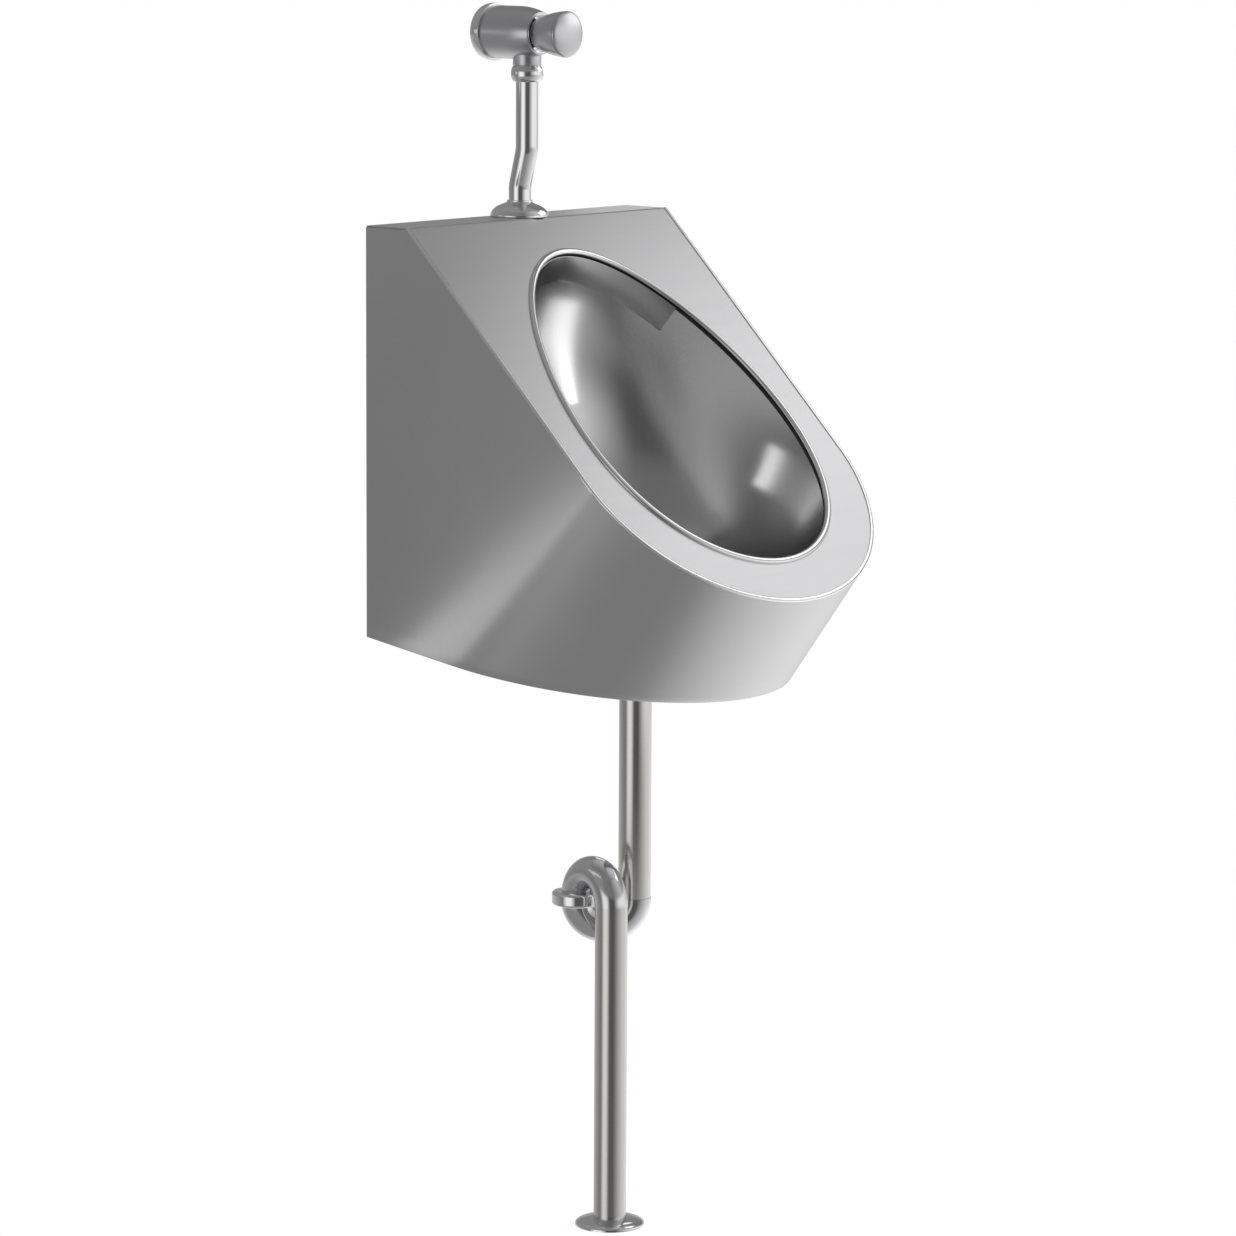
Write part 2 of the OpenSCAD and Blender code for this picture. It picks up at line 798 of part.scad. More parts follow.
module top_rosette() {
    neck_r = tube_r + run_fit;
    dome_h = rosette_h - 2 * rosette_rim;
    steps = 10;
    slimness = 0.8;
    outer_w = rosette_r - neck_r - rosette_collar;
    inner_w = rosette_r - neck_r - rosette_wall - hole_fit;
    dome = [for (i = [0:steps])
        let (a = 90 * i / steps)
        [neck_r + rosette_collar + outer_w * pow(cos(a), slimness), rosette_rim + dome_h * sin(a)]];
    hollow = [for (i = [steps:-1:0])
        let (a = 90 * i / steps)
        [neck_r + hole_fit + inner_w * pow(cos(a), slimness),
            rosette_rim + (dome_h - rosette_wall) * sin(a)]];
    outline = concat([[rosette_r, 0]], dome,
        [[neck_r + rosette_collar, rosette_h], [neck_r, rosette_h], [neck_r, rosette_h - 2 * rosette_collar]],
        hollow, [[rosette_r - rosette_wall, 0]]);
    color("white")
        at_inlet() translate([0, 0, top_z + sheet_fit])
            rotate_extrude() polygon(outline);
}

// The tube drops from the coupling, steps back towards the wall and drops into the spud.
module flush_tube() {
    color("white") {
        translate([0, -outlet_d, 0]) pipe(bend_top - lap, tube_upper_l + lap, tube_r, tube_bore_r);
        translate([0, -(outlet_d - tube_bend_r), bend_top])
            rotate([0, 0, -90]) mirror([0, 0, 1]) tube_arc();
        translate([0, -outlet_d + tube_bend_r * (1 - cos(tube_bend)), bend_top - bend_h])
            rotate([180 + tube_bend, 0, 0]) pipe(-lap, slant_l + 2 * lap, tube_r, tube_bore_r);
        translate([0, -(inlet_d + tube_bend_r), bend_low]) rotate([0, 0, 90]) tube_arc();
        at_inlet() pipe(tube_low, bend_low + lap - tube_low, tube_r, tube_bore_r);
    }
}

// One bend of the flush tube, drawn slightly thin as a bent tube is.
module tube_arc() {
    arc_pipe(tube_bend_r, tube_bend, tube_r - bend_thin, tube_bore_r + bend_thin);
}

// Push valve

module valve_body() {
    taper_d = barrel_front - taper_l;
    outline = concat(
        [[0, barrel_rear], [barrel_r, barrel_rear]],
        [for (i = [0:curve_steps])
            let (t = i / curve_steps)
            [barrel_r - (barrel_r - nose_r) * t * t, taper_d + taper_l * t]],
        [[0, barrel_front]]);
    color("lightgray")
        at_valve()
            difference() {
                union() {
                    rotate_extrude() polygon(outline);
                    at_outlet() cylinder(h = boss_end, r = boss_r);
                    at_outlet() cylinder(h = spigot_end, r = spigot_r);
                }
                cylinder(h = nipple_end, r = thread_r + run_fit);
                cylinder(h = seat_front, r = nipple_bore_r);
                translate([0, 0, nipple_end]) cylinder(h = seat_front, r = inlet_chamber_r);
                translate([0, 0, disc_front]) cylinder(h = barrel_front, r = chamber_r);
                translate([0, 0, bonnet_d]) cylinder(h = barrel_front, r = bonnet_r + run_fit);
                at_outlet() cylinder(h = spigot_end + past, r = outlet_bore / 2);
            }
}

// Inside the valve's frame, places children with their Z axis pointing down the outlet.
module at_outlet() {
    translate([0, 0, outlet_d]) rotate([90, 0, 0]) children();
}

module wall_flange() {
    lip_r = barrel_r + run_fit;
    hole_r = thread_r + hole_fit;
    rise = cup_l - 2 * cup_round;
    cup = [for (i = [0:curve_steps])
        let (a = 90 * i / curve_steps)
        [cup_rear_r + (cup_r - cup_rear_r) * sin(a), rise * (1 - cos(a))]];
    outline = concat(cup, [[cup_r, cup_l - cup_round], [cup_r - cup_round, cup_l], [lip_r, cup_l],
        [lip_r, cup_wall], [hole_r, cup_wall], [hole_r, 0]]);
    color("white") at_valve() rotate_extrude() polygon(outline);
}

// A nipple with a thread at each end and a plain waist between them, at the wall.
module inlet_nipple() {
    whole_l = supply_l + nipple_end;
    waist_end = nipple_waist / 2;
    color("goldenrod")
        at_valve()
            difference() {
                union() {
                    translate([0, 0, -supply_l]) cylinder(h = supply_l - waist_end, r = thread_r);
                    translate([0, 0, -supply_l]) cylinder(h = whole_l, r = thread_r - nipple_waist);
                    translate([0, 0, barrel_rear]) cylinder(h = nipple_in, r = thread_r);
                }
                translate([0, 0, -supply_l - past]) cylinder(h = whole_l + 2 * past, r = nipple_bore_r);
            }
}

module valve_seat() {
    color("goldenrod") at_valve() pipe(disc_front, seat_t, chamber_r - run_fit, spindle_r + seat_bore_w);
}

// The disc closes the seat from the wall side, so pressing the button opens it.
module seal_disc() {
    color("black")
        at_valve() pipe(disc_front - disc_t, disc_t, spindle_r + disc_w, spindle_r + run_fit);
}

module spindle() {
    collar_rear = disc_front - disc_t - spindle_collar_t;
    rear = collar_rear - spindle_collar_t;
    color("goldenrod")
        at_valve() {
            translate([0, 0, collar_rear])
                cylinder(h = spindle_collar_t, r = spindle_r + spindle_collar_w);
            translate([0, 0, rear]) cylinder(h = web_rear + web_t - rear, r = spindle_r);
        }
}

// The bonnet guides the spindle, and its skirt leaves room for the button's neck.
module bonnet() {
    guide_r = spindle_r + spindle_collar_w;
    color("dimgray")
        at_valve()
            difference() {
                union() {
                    translate([0, 0, bonnet_d]) cylinder(h = bonnet_wall, r = bonnet_r);
                    pipe(bonnet_d, bonnet_l, bonnet_r, skirt_r);
                    translate([0, 0, bonnet_d]) cylinder(h = bonnet_l, r = guide_r);
                }
                cylinder(h = barrel_front + past, r = spindle_r + run_fit);
                cylinder(h = bonnet_d + seal_t, r = spindle_r + seal_w + run_fit);
            }
}

module spindle_seal() {
    color("black")
        at_valve() pipe(bonnet_d, seal_t, spindle_r + seal_w, spindle_r + run_fit);
}

module button_spring() {
    sides = 6;
    steps_per_turn = 18;
    steps = spring_turns * steps_per_turn;
    low = bonnet_d + bonnet_wall + spring_wire_r;
    high = web_rear - spring_wire_r;
    sections = [for (i = [0:steps])
        let (a = 360 * i / steps_per_turn, z = low + (high - low) * i / steps)
        [for (k = [0:sides - 1])
            let (b = 360 * k / sides, r = spring_r + spring_wire_r * cos(b))
            [r * cos(a), r * sin(a), z + spring_wire_r * sin(b)]]];
    color("gray") at_valve() skin(sections);
}

// The button's outer radius at distance d from the wall.
function flare_r(d) =
    neck_d / 2 + (head_r - neck_d / 2) * (1 - pow(1 - (d - neck_rear) / button_l, flare_n));

module push_button() {
    web_r = flare_r(web_rear) - button_wall + bend_thin;
    flare = [for (i = [0:curve_steps])
        let (d = neck_rear + button_l * i / curve_steps)
        [flare_r(d), d]];
    inside = [for (i = [curve_steps:-1:0]) flare[i] - [button_wall, 0]];
    color("lightgray")
        at_valve() {
            rotate_extrude() polygon(concat(flare, inside));
            pipe(web_rear, web_t, web_r, spindle_r);
        }
}

module button_cap() {
    steps = 10;
    foot_r = head_r - cap_foot_in;
    dome = [for (i = [0:steps])
        let (a = 90 * i / steps)
        [head_r * cos(a), head_front + cap_rim + (cap_h - cap_rim) * sin(a)]];
    outline = concat(
        [[0, web_rear + web_t], [foot_r, web_rear + web_t], [foot_r, head_front], [head_r, head_front]],
        dome);
    color("white") at_valve() rotate_extrude() polygon(outline);
}

module coupling_nut() {
    steps = 10;
    swell = 60;
    middle_r = coupling_d / 2 - coupling_round;
    ball = [for (i = [0:steps])
        let (a = swell * (2 * i / steps - 1))
        [middle_r + coupling_round * cos(a), coupling_h / 2 * (1 + sin(a) / sin(swell))]];
    outline = concat(ball, [[spigot_r + run_fit, coupling_h], [spigot_r + run_fit, coupling_lip],
        [tube_r + run_fit, coupling_lip], [tube_r + run_fit, 0]]);
    color("white")
        translate([0, -outlet_d, valve_z - boss_end - coupling_h]) rotate_extrude() polygon(outline);
}

module coupling_washer() {
    color("black")
        translate([0, -outlet_d, 0]) pipe(tube_top, washer_t, spigot_r - run_fit, outlet_bore / 2);
}

// Waste

module waste_outlet() {
    bore_r = tail_r + run_fit;
    color("silver")
        at_drain() {
            difference() {
                union() {
                    translate([0, 0, seat_z]) cylinder(h = waste_flange_t, r = waste_flange_d / 2);
                    translate([0, 0, waste_end]) cylinder(h = waste_l + waste_flange_t, r = waste_r);
                }
                translate([0, 0, seat_z + waste_flange_t - strainer_t])
                    cylinder(h = strainer_t + past, r = strainer_d / 2 + run_fit);
                translate([0, 0, waste_end - past])
                    cylinder(h = waste_l + waste_flange_t + past, r = bore_r);
            }
            difference() {
                translate([-bore_r - bar_in, -bar_w / 2, seat_z - bar_drop])
                    cube([2 * (bore_r + bar_in), bar_w, bar_h]);
                translate([0, 0, seat_z - bar_drop - past])
                    cylinder(h = bar_h + 2 * past, r = screw_r + run_fit);
            }
        }
}

module waste_gasket() {
    color("black")
        at_drain()
            pipe(seat_z - sheet - waste_gasket_t, waste_gasket_t, seat_d / 2 - gasket_in, waste_r + run_fit);
}

module waste_locknut() {
    low = seat_z - sheet - waste_gasket_t - lock_h;
    color("gray")
        at_drain()
            difference() {
                translate([0, 0, low]) cylinder(h = lock_h, r = waste_r + lock_w, $fn = 6);
                translate([0, 0, low - past]) cylinder(h = lock_h + 2 * past, r = waste_r + run_fit);
            }
}

// A round plate with a ring of six holes and a ring of twelve.
module strainer() {
    first_ring = 6;
    color("silver")
        at_drain()
            translate([0, 0, seat_z + waste_flange_t - strainer_t])
                difference() {
                    cylinder(h = strainer_t, r = strainer_d / 2);
                    for (ring = [1, 2], i = [0:first_ring * ring - 1])
                        rotate([0, 0, 360 / first_ring * i / ring])
                            translate([ring * strainer_d * strainer_pitch, 0, -past])
                                cylinder(h = strainer_t + 2 * past, r = strainer_hole_d / 2);
                    translate([0, 0, -past])
                        cylinder(h = strainer_t + 2 * past, r = screw_r + run_fit);
                }
}

module strainer_screw() {
    head_z = seat_z + waste_flange_t;
    foot_z = seat_z - bar_drop + bar_in;
    head_r = screw_r + screw_head_w;
    color("silver")
        at_drain() {
            translate([0, 0, foot_z]) cylinder(h = head_z - foot_z, r = screw_r);
            translate([0, 0, head_z])
                difference() {
                    cylinder(h = screw_head_h, r1 = head_r, r2 = head_r - 1);
                    translate([-head_r, -screw_slot_w / 2, screw_head_h / 2])
                        cube([2 * head_r, screw_slot_w, screw_head_h]);
                }
        }
}

module tail_nut() {
    washer_low = waste_end - tail_washer_h;
    color("silver")
        at_drain()
            difference() {
                translate([0, 0, washer_low - tail_nut_floor])
                    cylinder(h = tail_nut_h, r = waste_r + tail_nut_wall);
                translate([0, 0, washer_low]) cylinder(h = tail_nut_h, r = waste_r + run_fit);
                translate([0, 0, washer_low - tail_nut_floor - past])
                    cylinder(h = tail_nut_h, r = tail_r + run_fit);
            }
}

module tail_washer() {
    color("black")
        at_drain() pipe(waste_end - tail_washer_h, tail_washer_h, waste_r - run_fit, tail_r + run_fit);
}

module tailpipe() {
    color("lightgray")
        at_drain() pipe(lower_top, waste_end + tail_in - lower_top, tail_r, tail_r - tail_wall);
}

// Trap and floor pipe

function turned(angle) = [trap_c * cos(angle), trap_c * sin(angle), 0];

// Places children on the riser, where the two bends meet.
module at_riser() {
    at_drain() translate(turned(riser_turn)) children();
}

// Places children on the standpipe's axis.
module at_stand() {
    at_riser() translate(turned(spill_turn)) children();
}

// A half bend hanging below z = 0, from the origin to trap_c along +X.
module hanging_bend(r) {
    translate([bend_r, 0, 0]) rotate([0, 0, 180]) mirror([0, 0, 1]) arc_solid(bend_r, 180, r);
}

module lower_bend() {
    color("lightgray")
        at_drain()
            translate([0, 0, lower_top])
                rotate([0, 0, riser_turn])
                    difference() {
                        union() {
                            hanging_bend(lower_r);
                            cylinder(h = spigot_in, r = lower_spigot_r);
                            translate([trap_c, 0, -flange_h]) cylinder(h = flange_h, r = flange_r);
                        }
                        hanging_bend(lower_bore_r - bore_step);
                        translate([0, 0, -bore_step]) cylinder(h = spigot_in + past, r = lower_bore_r);
                        translate([trap_c, 0, -bore_step]) cylinder(h = past, r = lower_bore_r);
                    }
}

module upper_bend() {
    color("lightgray")
        at_riser()
            translate([0, 0, upper_low])
                rotate([0, 0, spill_turn])
                    difference() {
                        union() {
                            mirror([0, 0, 1]) hanging_bend(upper_r);
                            cylinder(h = collar_h, r = collar_r);
                            translate([trap_c, 0, -spigot_in]) cylinder(h = spigot_in, r = upper_spigot_r);
                        }
                        mirror([0, 0, 1]) hanging_bend(upper_bore_r - bore_step);
                        translate([0, 0, -past]) cylinder(h = past + bore_step, r = upper_bore_r);
                        translate([trap_c, 0, -spigot_in - past])
                            cylinder(h = spigot_in + past + bore_step, r = upper_bore_r);
                    }
}

module union_washer() {
    color("black") at_riser() pipe(lower_top, trap_washer_t, flange_r, lower_bore_r);
}

// The nut hangs by its lip under the lower bend's flange and turns round the upper bend's collar.
module union_nut() {
    low = joint_z - union_h / 2;
    high = joint_z + union_h / 2;
    lip_top = lower_top - flange_h - union_play;
    lip_r = lower_r + lip_play;
    outline = [[lip_r, low], [union_r - union_chamfer, low], [union_r, low + union_chamfer],
        [union_r, high - union_chamfer], [union_r - union_chamfer, high],
        [collar_r + run_fit, high], [collar_r + run_fit, lip_top], [lip_r, lip_top]];
    color("white") at_riser() rotate_extrude() polygon(outline);
}

// A straight pipe down into the floor, where its end is drawn in to enter the drain's socket.
module standpipe() {
    end_z = floor_z - spigot_l;
    end_bore_r = spigot_out_r - stand_wall;
    bore_r = stand_r - stand_wall;
    groove_r = spigot_out_r - groove_in;
    outline = [[bore_r, upper_low], [stand_r, upper_low], [stand_r, floor_z], [groove_r, floor_z],
        [groove_r, floor_z - groove_h], [spigot_out_r, floor_z - groove_h], [spigot_out_r, end_z],
        [end_bore_r, end_z], [end_bore_r, floor_z + stand_wall], [bore_r, floor_z + 2 * stand_wall]];
    color("lightgray") at_stand() rotate_extrude() polygon(outline);
}

module floor_flange() {
    r = floor_flange_d / 2;
    bore_r = stand_r + run_fit;
    top_r = bore_r + floor_collar;
    dome = [for (i = [0:curve_steps])
        let (a = 90 * i / curve_steps)
        [top_r + (r - top_r) * cos(a), floor_rim + (floor_flange_h - floor_rim) * sin(a)]];
    outline = concat([[bore_r, 0], [r, 0]], dome, [[bore_r, floor_flange_h]]);
    color("white") at_stand() translate([0, 0, floor_z]) rotate_extrude() polygon(outline);
}

outer_shell();
face_panel();
face_hem();
back_plate();
bottom_pan();
bowl();
mouth_bead();
spreader();
feed_elbow();
wall_hanger();
wall_buffers();
inlet_spud();
spud_gasket();
spud_locknut();
top_rosette();
flush_tube();
coupling_nut();
coupling_washer();
wall_flange();
inlet_nipple();
valve_body();
valve_seat();
seal_disc();
spindle();
spindle_seal();
bonnet();
button_spring();
push_button();
button_cap();
waste_outlet();
waste_gasket();
waste_locknut();
strainer();
strainer_screw();
tail_nut();
tail_washer();
tailpipe();
lower_bend();
union_nut();
union_washer();
upper_bend();
standpipe();
floor_flange();
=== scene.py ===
# %% [markdown]
# # A stainless steel urinal, finished for its portrait
#
# The construction is already there: forty odd CAD solids with real sizes and joints. This script
# gives them the look of the real object. Smooth pressed steel and chrome show every flat facet in
# their reflections, so each piece that the eye meets is built again here as a fine surface, with
# the same measures as its solid. The pieces that stay hidden keep their solids.

import math

import bmesh
import bpy
import numpy as np
from mathutils import Matrix


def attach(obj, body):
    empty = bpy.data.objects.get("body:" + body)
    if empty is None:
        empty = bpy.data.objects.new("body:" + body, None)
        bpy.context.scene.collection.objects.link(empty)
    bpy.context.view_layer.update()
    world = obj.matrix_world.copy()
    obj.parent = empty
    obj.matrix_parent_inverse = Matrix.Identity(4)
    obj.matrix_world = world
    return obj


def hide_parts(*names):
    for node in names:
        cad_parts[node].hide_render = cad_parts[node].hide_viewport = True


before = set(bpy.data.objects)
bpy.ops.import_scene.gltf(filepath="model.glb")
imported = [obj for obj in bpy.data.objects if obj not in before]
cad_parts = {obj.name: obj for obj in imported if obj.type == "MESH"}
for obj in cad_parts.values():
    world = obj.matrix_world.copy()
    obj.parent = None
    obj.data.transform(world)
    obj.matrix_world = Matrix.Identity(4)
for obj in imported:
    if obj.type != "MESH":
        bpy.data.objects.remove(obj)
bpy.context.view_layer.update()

# %% [markdown]
# ## The measures
#
# Everything below is in metres, in the CAD frame: X along the wall, Y into the wall, Z up, with the
# origin at the wall hanger. The values are those of the construction, so that each surface lies
# exactly on the solid that it stands for.
#
# The face slopes down from the fold. Its sides run straight for CHEEK, and the round NOSE closes it.
# The bottom rim does the same with RIM_SIDE and RIM_FRONT, and dips by DIP. An N of 2 makes a front
# an ellipse. The trap's two half circles are TRAP_C wide, and their turns tell where they head.

# %% Measures of the body, the valve and the pipes
MM = 0.001
WALL_GAP, TOP, BOTTOM = 18 * MM, 80 * MM, -320 * MM
HALF_W, FOLD, SHEET = 195 * MM, 70 * MM, 1.5 * MM
SLOPE, DIP = math.radians(45), math.radians(8.5)
CHEEK, NOSE, NOSE_N = 320 * MM, 168 * MM, 2.0
RIM_SIDE, RIM_FRONT, RIM_N = 110 * MM, 213 * MM, 2.0
MOUTH_W, MOUTH_L, MOUTH_MID, MOUTH_EGG = 300 * MM, 394 * MM, 242 * MM, 0.15
DRAIN_Y, SEAT_Z, SEAT_R, DRAIN_R = -196 * MM, -272 * MM, 42 * MM, 20.8 * MM
INLET_R = 15.3 * MM
INLET_Y, OUTLET_Y, VALVE_Z = -44 * MM, -53 * MM, 260 * MM
JOINT_Z, FLOOR_Z, PIPE_END = -582 * MM, -900 * MM, -925 * MM
TRAP_C = 56.5 * MM
DRAIN = np.array([0.0, DRAIN_Y])
RISER_TURN, SPILL_TURN = math.radians(139), math.radians(256)
RISER = DRAIN + TRAP_C * np.array([math.cos(RISER_TURN), math.sin(RISER_TURN)])
STAND = RISER + TRAP_C * np.array([math.cos(SPILL_TURN), math.sin(SPILL_TURN)])
print("riser axis", RISER.round(4), "standpipe axis", STAND.round(4))

# %% [markdown]
# ## From a grid of points to a mesh
#
# A pressed or turned surface is a function of two numbers. Numpy works out all its points at once,
# as an array of rows and columns, and each little square of the grid becomes a face. Where the grid
# closes on itself it is wrapped, and where a row shrinks to a point the doubles are merged, so the
# mesh comes out closed, with its faces outwards.


# %% Mesh helpers
def grid_faces(rows, columns, wrap_rows, wrap_columns):
    """Corner numbers of each square: (i, j), (i + 1, j), (i + 1, j + 1) and (i, j + 1)."""
    i, j = np.meshgrid(
        np.arange(rows if wrap_rows else rows - 1),
        np.arange(columns if wrap_columns else columns - 1),
        indexing="ij",
    )
    i2, j2 = (i + 1) % rows, (j + 1) % columns
    corners = [i * columns + j, i2 * columns + j, i2 * columns + j2, i * columns + j2]
    return np.stack(corners, axis=-1).reshape(-1, 4)


def solid(name, grids, uvs=None):
    """A closed smooth mesh from a list of (points, wrap_rows, wrap_columns, capped) grids."""
    points, faces, start = [], [], 0
    for grid, wrap_rows, wrap_columns, capped in grids:
        rows, columns = grid.shape[:2]
        points.append(grid.reshape(-1, 3))
        faces.extend((grid_faces(rows, columns, wrap_rows, wrap_columns) + start).tolist())
        if capped:
            ring = np.arange(columns) + start
            faces.append(ring[::-1].tolist())
            faces.append((ring + (rows - 1) * columns).tolist())
        start += rows * columns
    mesh = bpy.data.meshes.new(name)
    mesh.from_pydata(np.concatenate(points), [], faces)
    if uvs is not None:
        layer = mesh.uv_layers.new(name="along")
        loops = np.zeros(len(mesh.loops), np.int32)
        mesh.loops.foreach_get("vertex_index", loops)
        layer.data.foreach_set("uv", np.ascontiguousarray(uvs.reshape(-1, 2)[loops]).ravel())
    tidy = bmesh.new()
    tidy.from_mesh(mesh)
    bmesh.ops.remove_doubles(tidy, verts=tidy.verts, dist=2e-6)
    bmesh.ops.recalc_face_normals(tidy, faces=tidy.faces)
    tidy.to_mesh(mesh)
    tidy.free()
    mesh.shade_smooth()
    piece = bpy.data.objects.new(name, mesh)
    bpy.context.scene.collection.objects.link(piece)
    return piece


def keep_edges(piece, angle=32):
    """Edges that turn by more than the angle stay crisp; the rest shade as one surface."""
    piece.data.set_sharp_from_angle(angle=math.radians(angle))
    return piece


def line_below_face(piece, start, stop, material):
    """Faces whose middles lie between two depths under the sloping face take the material."""
    count = len(piece.data.polygons)
    middles = np.empty(count * 3)
    piece.data.polygons.foreach_get("center", middles)
    _, y, z = middles.reshape(-1, 3).T
    below = (y + FOLD) * math.sin(SLOPE) - (z - TOP) * math.cos(SLOPE)
    inside = (below > start) & (below < stop)
    piece.data.materials.append(material)
    piece.data.polygons.foreach_set("material_index", inside.astype(np.int32))


def finish(piece, material, body, slot, *nodes):
    """Gives a piece its material and its body, and hides the CAD nodes that it stands for; slot is
    not used.
    """
    piece.data.materials.clear()
    piece.data.materials.append(material)
    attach(piece, body)
    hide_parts(*nodes)
    print(piece.name, len(piece.data.polygons), "faces on", body)


# %% [markdown]
# Turned pieces, such as a nut, a cup or a cap, are lathe work: an outline of radius against height,
# carried round an axis. A sharp corner on a real turned piece is always broken by a small curve,
# and that curve is what catches the light, so the outline's corners are rounded first.


# %% Outlines and lathe work
def rounded(outline, radius, steps=5):
    """Each inner corner becomes a curve through points (1-t)^2 a + 2t(1-t) corner + t^2 b."""
    outline = np.asarray(outline, float)
    radii = np.broadcast_to(np.asarray(radius, float), len(outline))
    out = [outline[:1]]
    t = np.linspace(0, 1, steps + 1)[:, None]
    for before, corner, after, r in zip(outline, outline[1:], outline[2:], radii[1:-1]):
        back, on = before - corner, after - corner
        reach = min(r, np.hypot(*back) * 0.48, np.hypot(*on) * 0.48)
        if reach < 1e-6:
            out.append(corner[None])
            continue
        a = corner + back / np.hypot(*back) * reach
        b = corner + on / np.hypot(*on) * reach
        out.append((1 - t) ** 2 * a + 2 * t * (1 - t) * corner + t**2 * b)
    out.append(outline[-1:])
    return np.concatenate(out)


def turned(outline, centre, out_of_wall=False, steps=96):
    """Points (r cos a, r sin a, h) round an axis through centre: upright, or out of the wall."""
    r, h = np.asarray(outline, float).T
    a = np.linspace(0, 2 * math.pi, steps, endpoint=False)
    x, y = r[:, None] * np.cos(a), r[:, None] * np.sin(a)
    z = np.broadcast_to(h[:, None], x.shape)
    grid = np.stack([x, -z, y] if out_of_wall else [x, y, z], axis=-1)
    return grid + np.asarray(centre, float)


def pipe(name, centre, low, high, r_out, r_in, edge=0.3 * MM):
    """A straight upright pipe with slightly broken edges."""
    outline = rounded(
        [[r_in, low + 1 * MM], [r_in, low], [r_out, low], [r_out, high], [r_in, high],
         [r_in, low + 1 * MM]], edge, 3)
    where = (centre[0], centre[1], 0)
    return keep_edges(solid(name, [(turned(outline[:-1], where), True, True, False)]), 40)


print("helpers ready")

# %% [markdown]
# ## Effects that several finishes share
#
# Real metal is never even. Rolled or brushed sheet has a fine grain, all metal that is touched has
# faint cloudy patches where it was wiped, and polished edges wear a little. The grain and the wiping
# are each a small node group with named inputs, made once here and placed in each material with its
# own values.


# %% Node helpers
def new_group(name, inputs, outputs):
    """An empty node group with float or vector inputs (name: default) and float outputs."""
    tree = bpy.data.node_groups.new(name, "ShaderNodeTree")
    for label, value in inputs.items():
        kind = "NodeSocketVector" if isinstance(value, tuple) else "NodeSocketFloat"
        socket = tree.interface.new_socket(name=label, in_out="INPUT", socket_type=kind)
        socket.default_value = value
    for label in outputs:
        tree.interface.new_socket(name=label, in_out="OUTPUT", socket_type="NodeSocketFloat")
    return tree, tree.nodes.new("NodeGroupInput"), tree.nodes.new("NodeGroupOutput")


def add(tree, kind, links=None, **values):
    """A node of a kind, with settings or socket values by name, and links as {input: socket}."""
    node = tree.nodes.new(kind)
    for key, value in values.items():
        if hasattr(node, key):
            setattr(node, key, value)
        else:
            node.inputs[key.replace("_", " ")].default_value = value
    for key, socket in (links or {}).items():
        tree.links.new(socket, node.inputs[key])
    return node


def math_node(tree, operation, *terms, clamp=False):
    """One arithmetic step on sockets or numbers."""
    node = tree.nodes.new("ShaderNodeMath")
    node.operation, node.use_clamp = operation, clamp
    for place, term in enumerate(terms):
        if isinstance(term, bpy.types.NodeSocket):
            tree.links.new(term, node.inputs[place])
        else:
            node.inputs[place].default_value = term
    return node.outputs[0]


print("node helpers ready")

# %% The grain group and the wiping group
GRAIN, grain_in, grain_out = new_group(
    "brushed_grain", {"Vector": (0.0, 0.0, 0.0), "Stretch": (1.0, 1.0, 1.0)}, ["Fine", "Broad"])
stretched = add(GRAIN, "ShaderNodeVectorMath", {0: grain_in.outputs["Vector"],
                1: grain_in.outputs["Stretch"]}, operation="MULTIPLY")
fine = add(GRAIN, "ShaderNodeTexNoise", {"Vector": stretched.outputs[0]},
           Scale=1.0, Detail=5.0, Roughness=0.65)
broad = add(GRAIN, "ShaderNodeTexNoise", {"Vector": stretched.outputs[0]},
            Scale=0.13, Detail=2.0, Roughness=0.5)
GRAIN.links.new(fine.outputs[0], grain_out.inputs["Fine"])
GRAIN.links.new(broad.outputs[0], grain_out.inputs["Broad"])

WIPE, wipe_in, wipe_out = new_group(
    "wiped_clouds", {"Vector": (0.0, 0.0, 0.0), "Scale": 6.0}, ["Clouds", "Spots"])
clouds = add(WIPE, "ShaderNodeTexNoise", {"Vector": wipe_in.outputs["Vector"],
             "Scale": wipe_in.outputs["Scale"]}, Detail=3.0, Roughness=0.55, Distortion=0.6)
spots = add(WIPE, "ShaderNodeTexNoise", {"Vector": wipe_in.outputs["Vector"],
            "Scale": math_node(WIPE, "MULTIPLY", wipe_in.outputs["Scale"], 14.0)},
            Detail=2.0, Roughness=0.6)
WIPE.links.new(clouds.outputs[0], wipe_out.inputs["Clouds"])
WIPE.links.new(spots.outputs[0], wipe_out.inputs["Spots"])
print("groups:", [g.name for g in bpy.data.node_groups])

# %% [markdown]
# ## The finishes
#
# All the metal here is bare, so what tells one finish from another is how sharply it mirrors the
# room. Satin sheet blurs the room along its grain, polished edges and chrome mirror it, and cast or
# machined brass lies between. So each metal is fully metallic, and its roughness carries the grain
# and the wiped clouds.


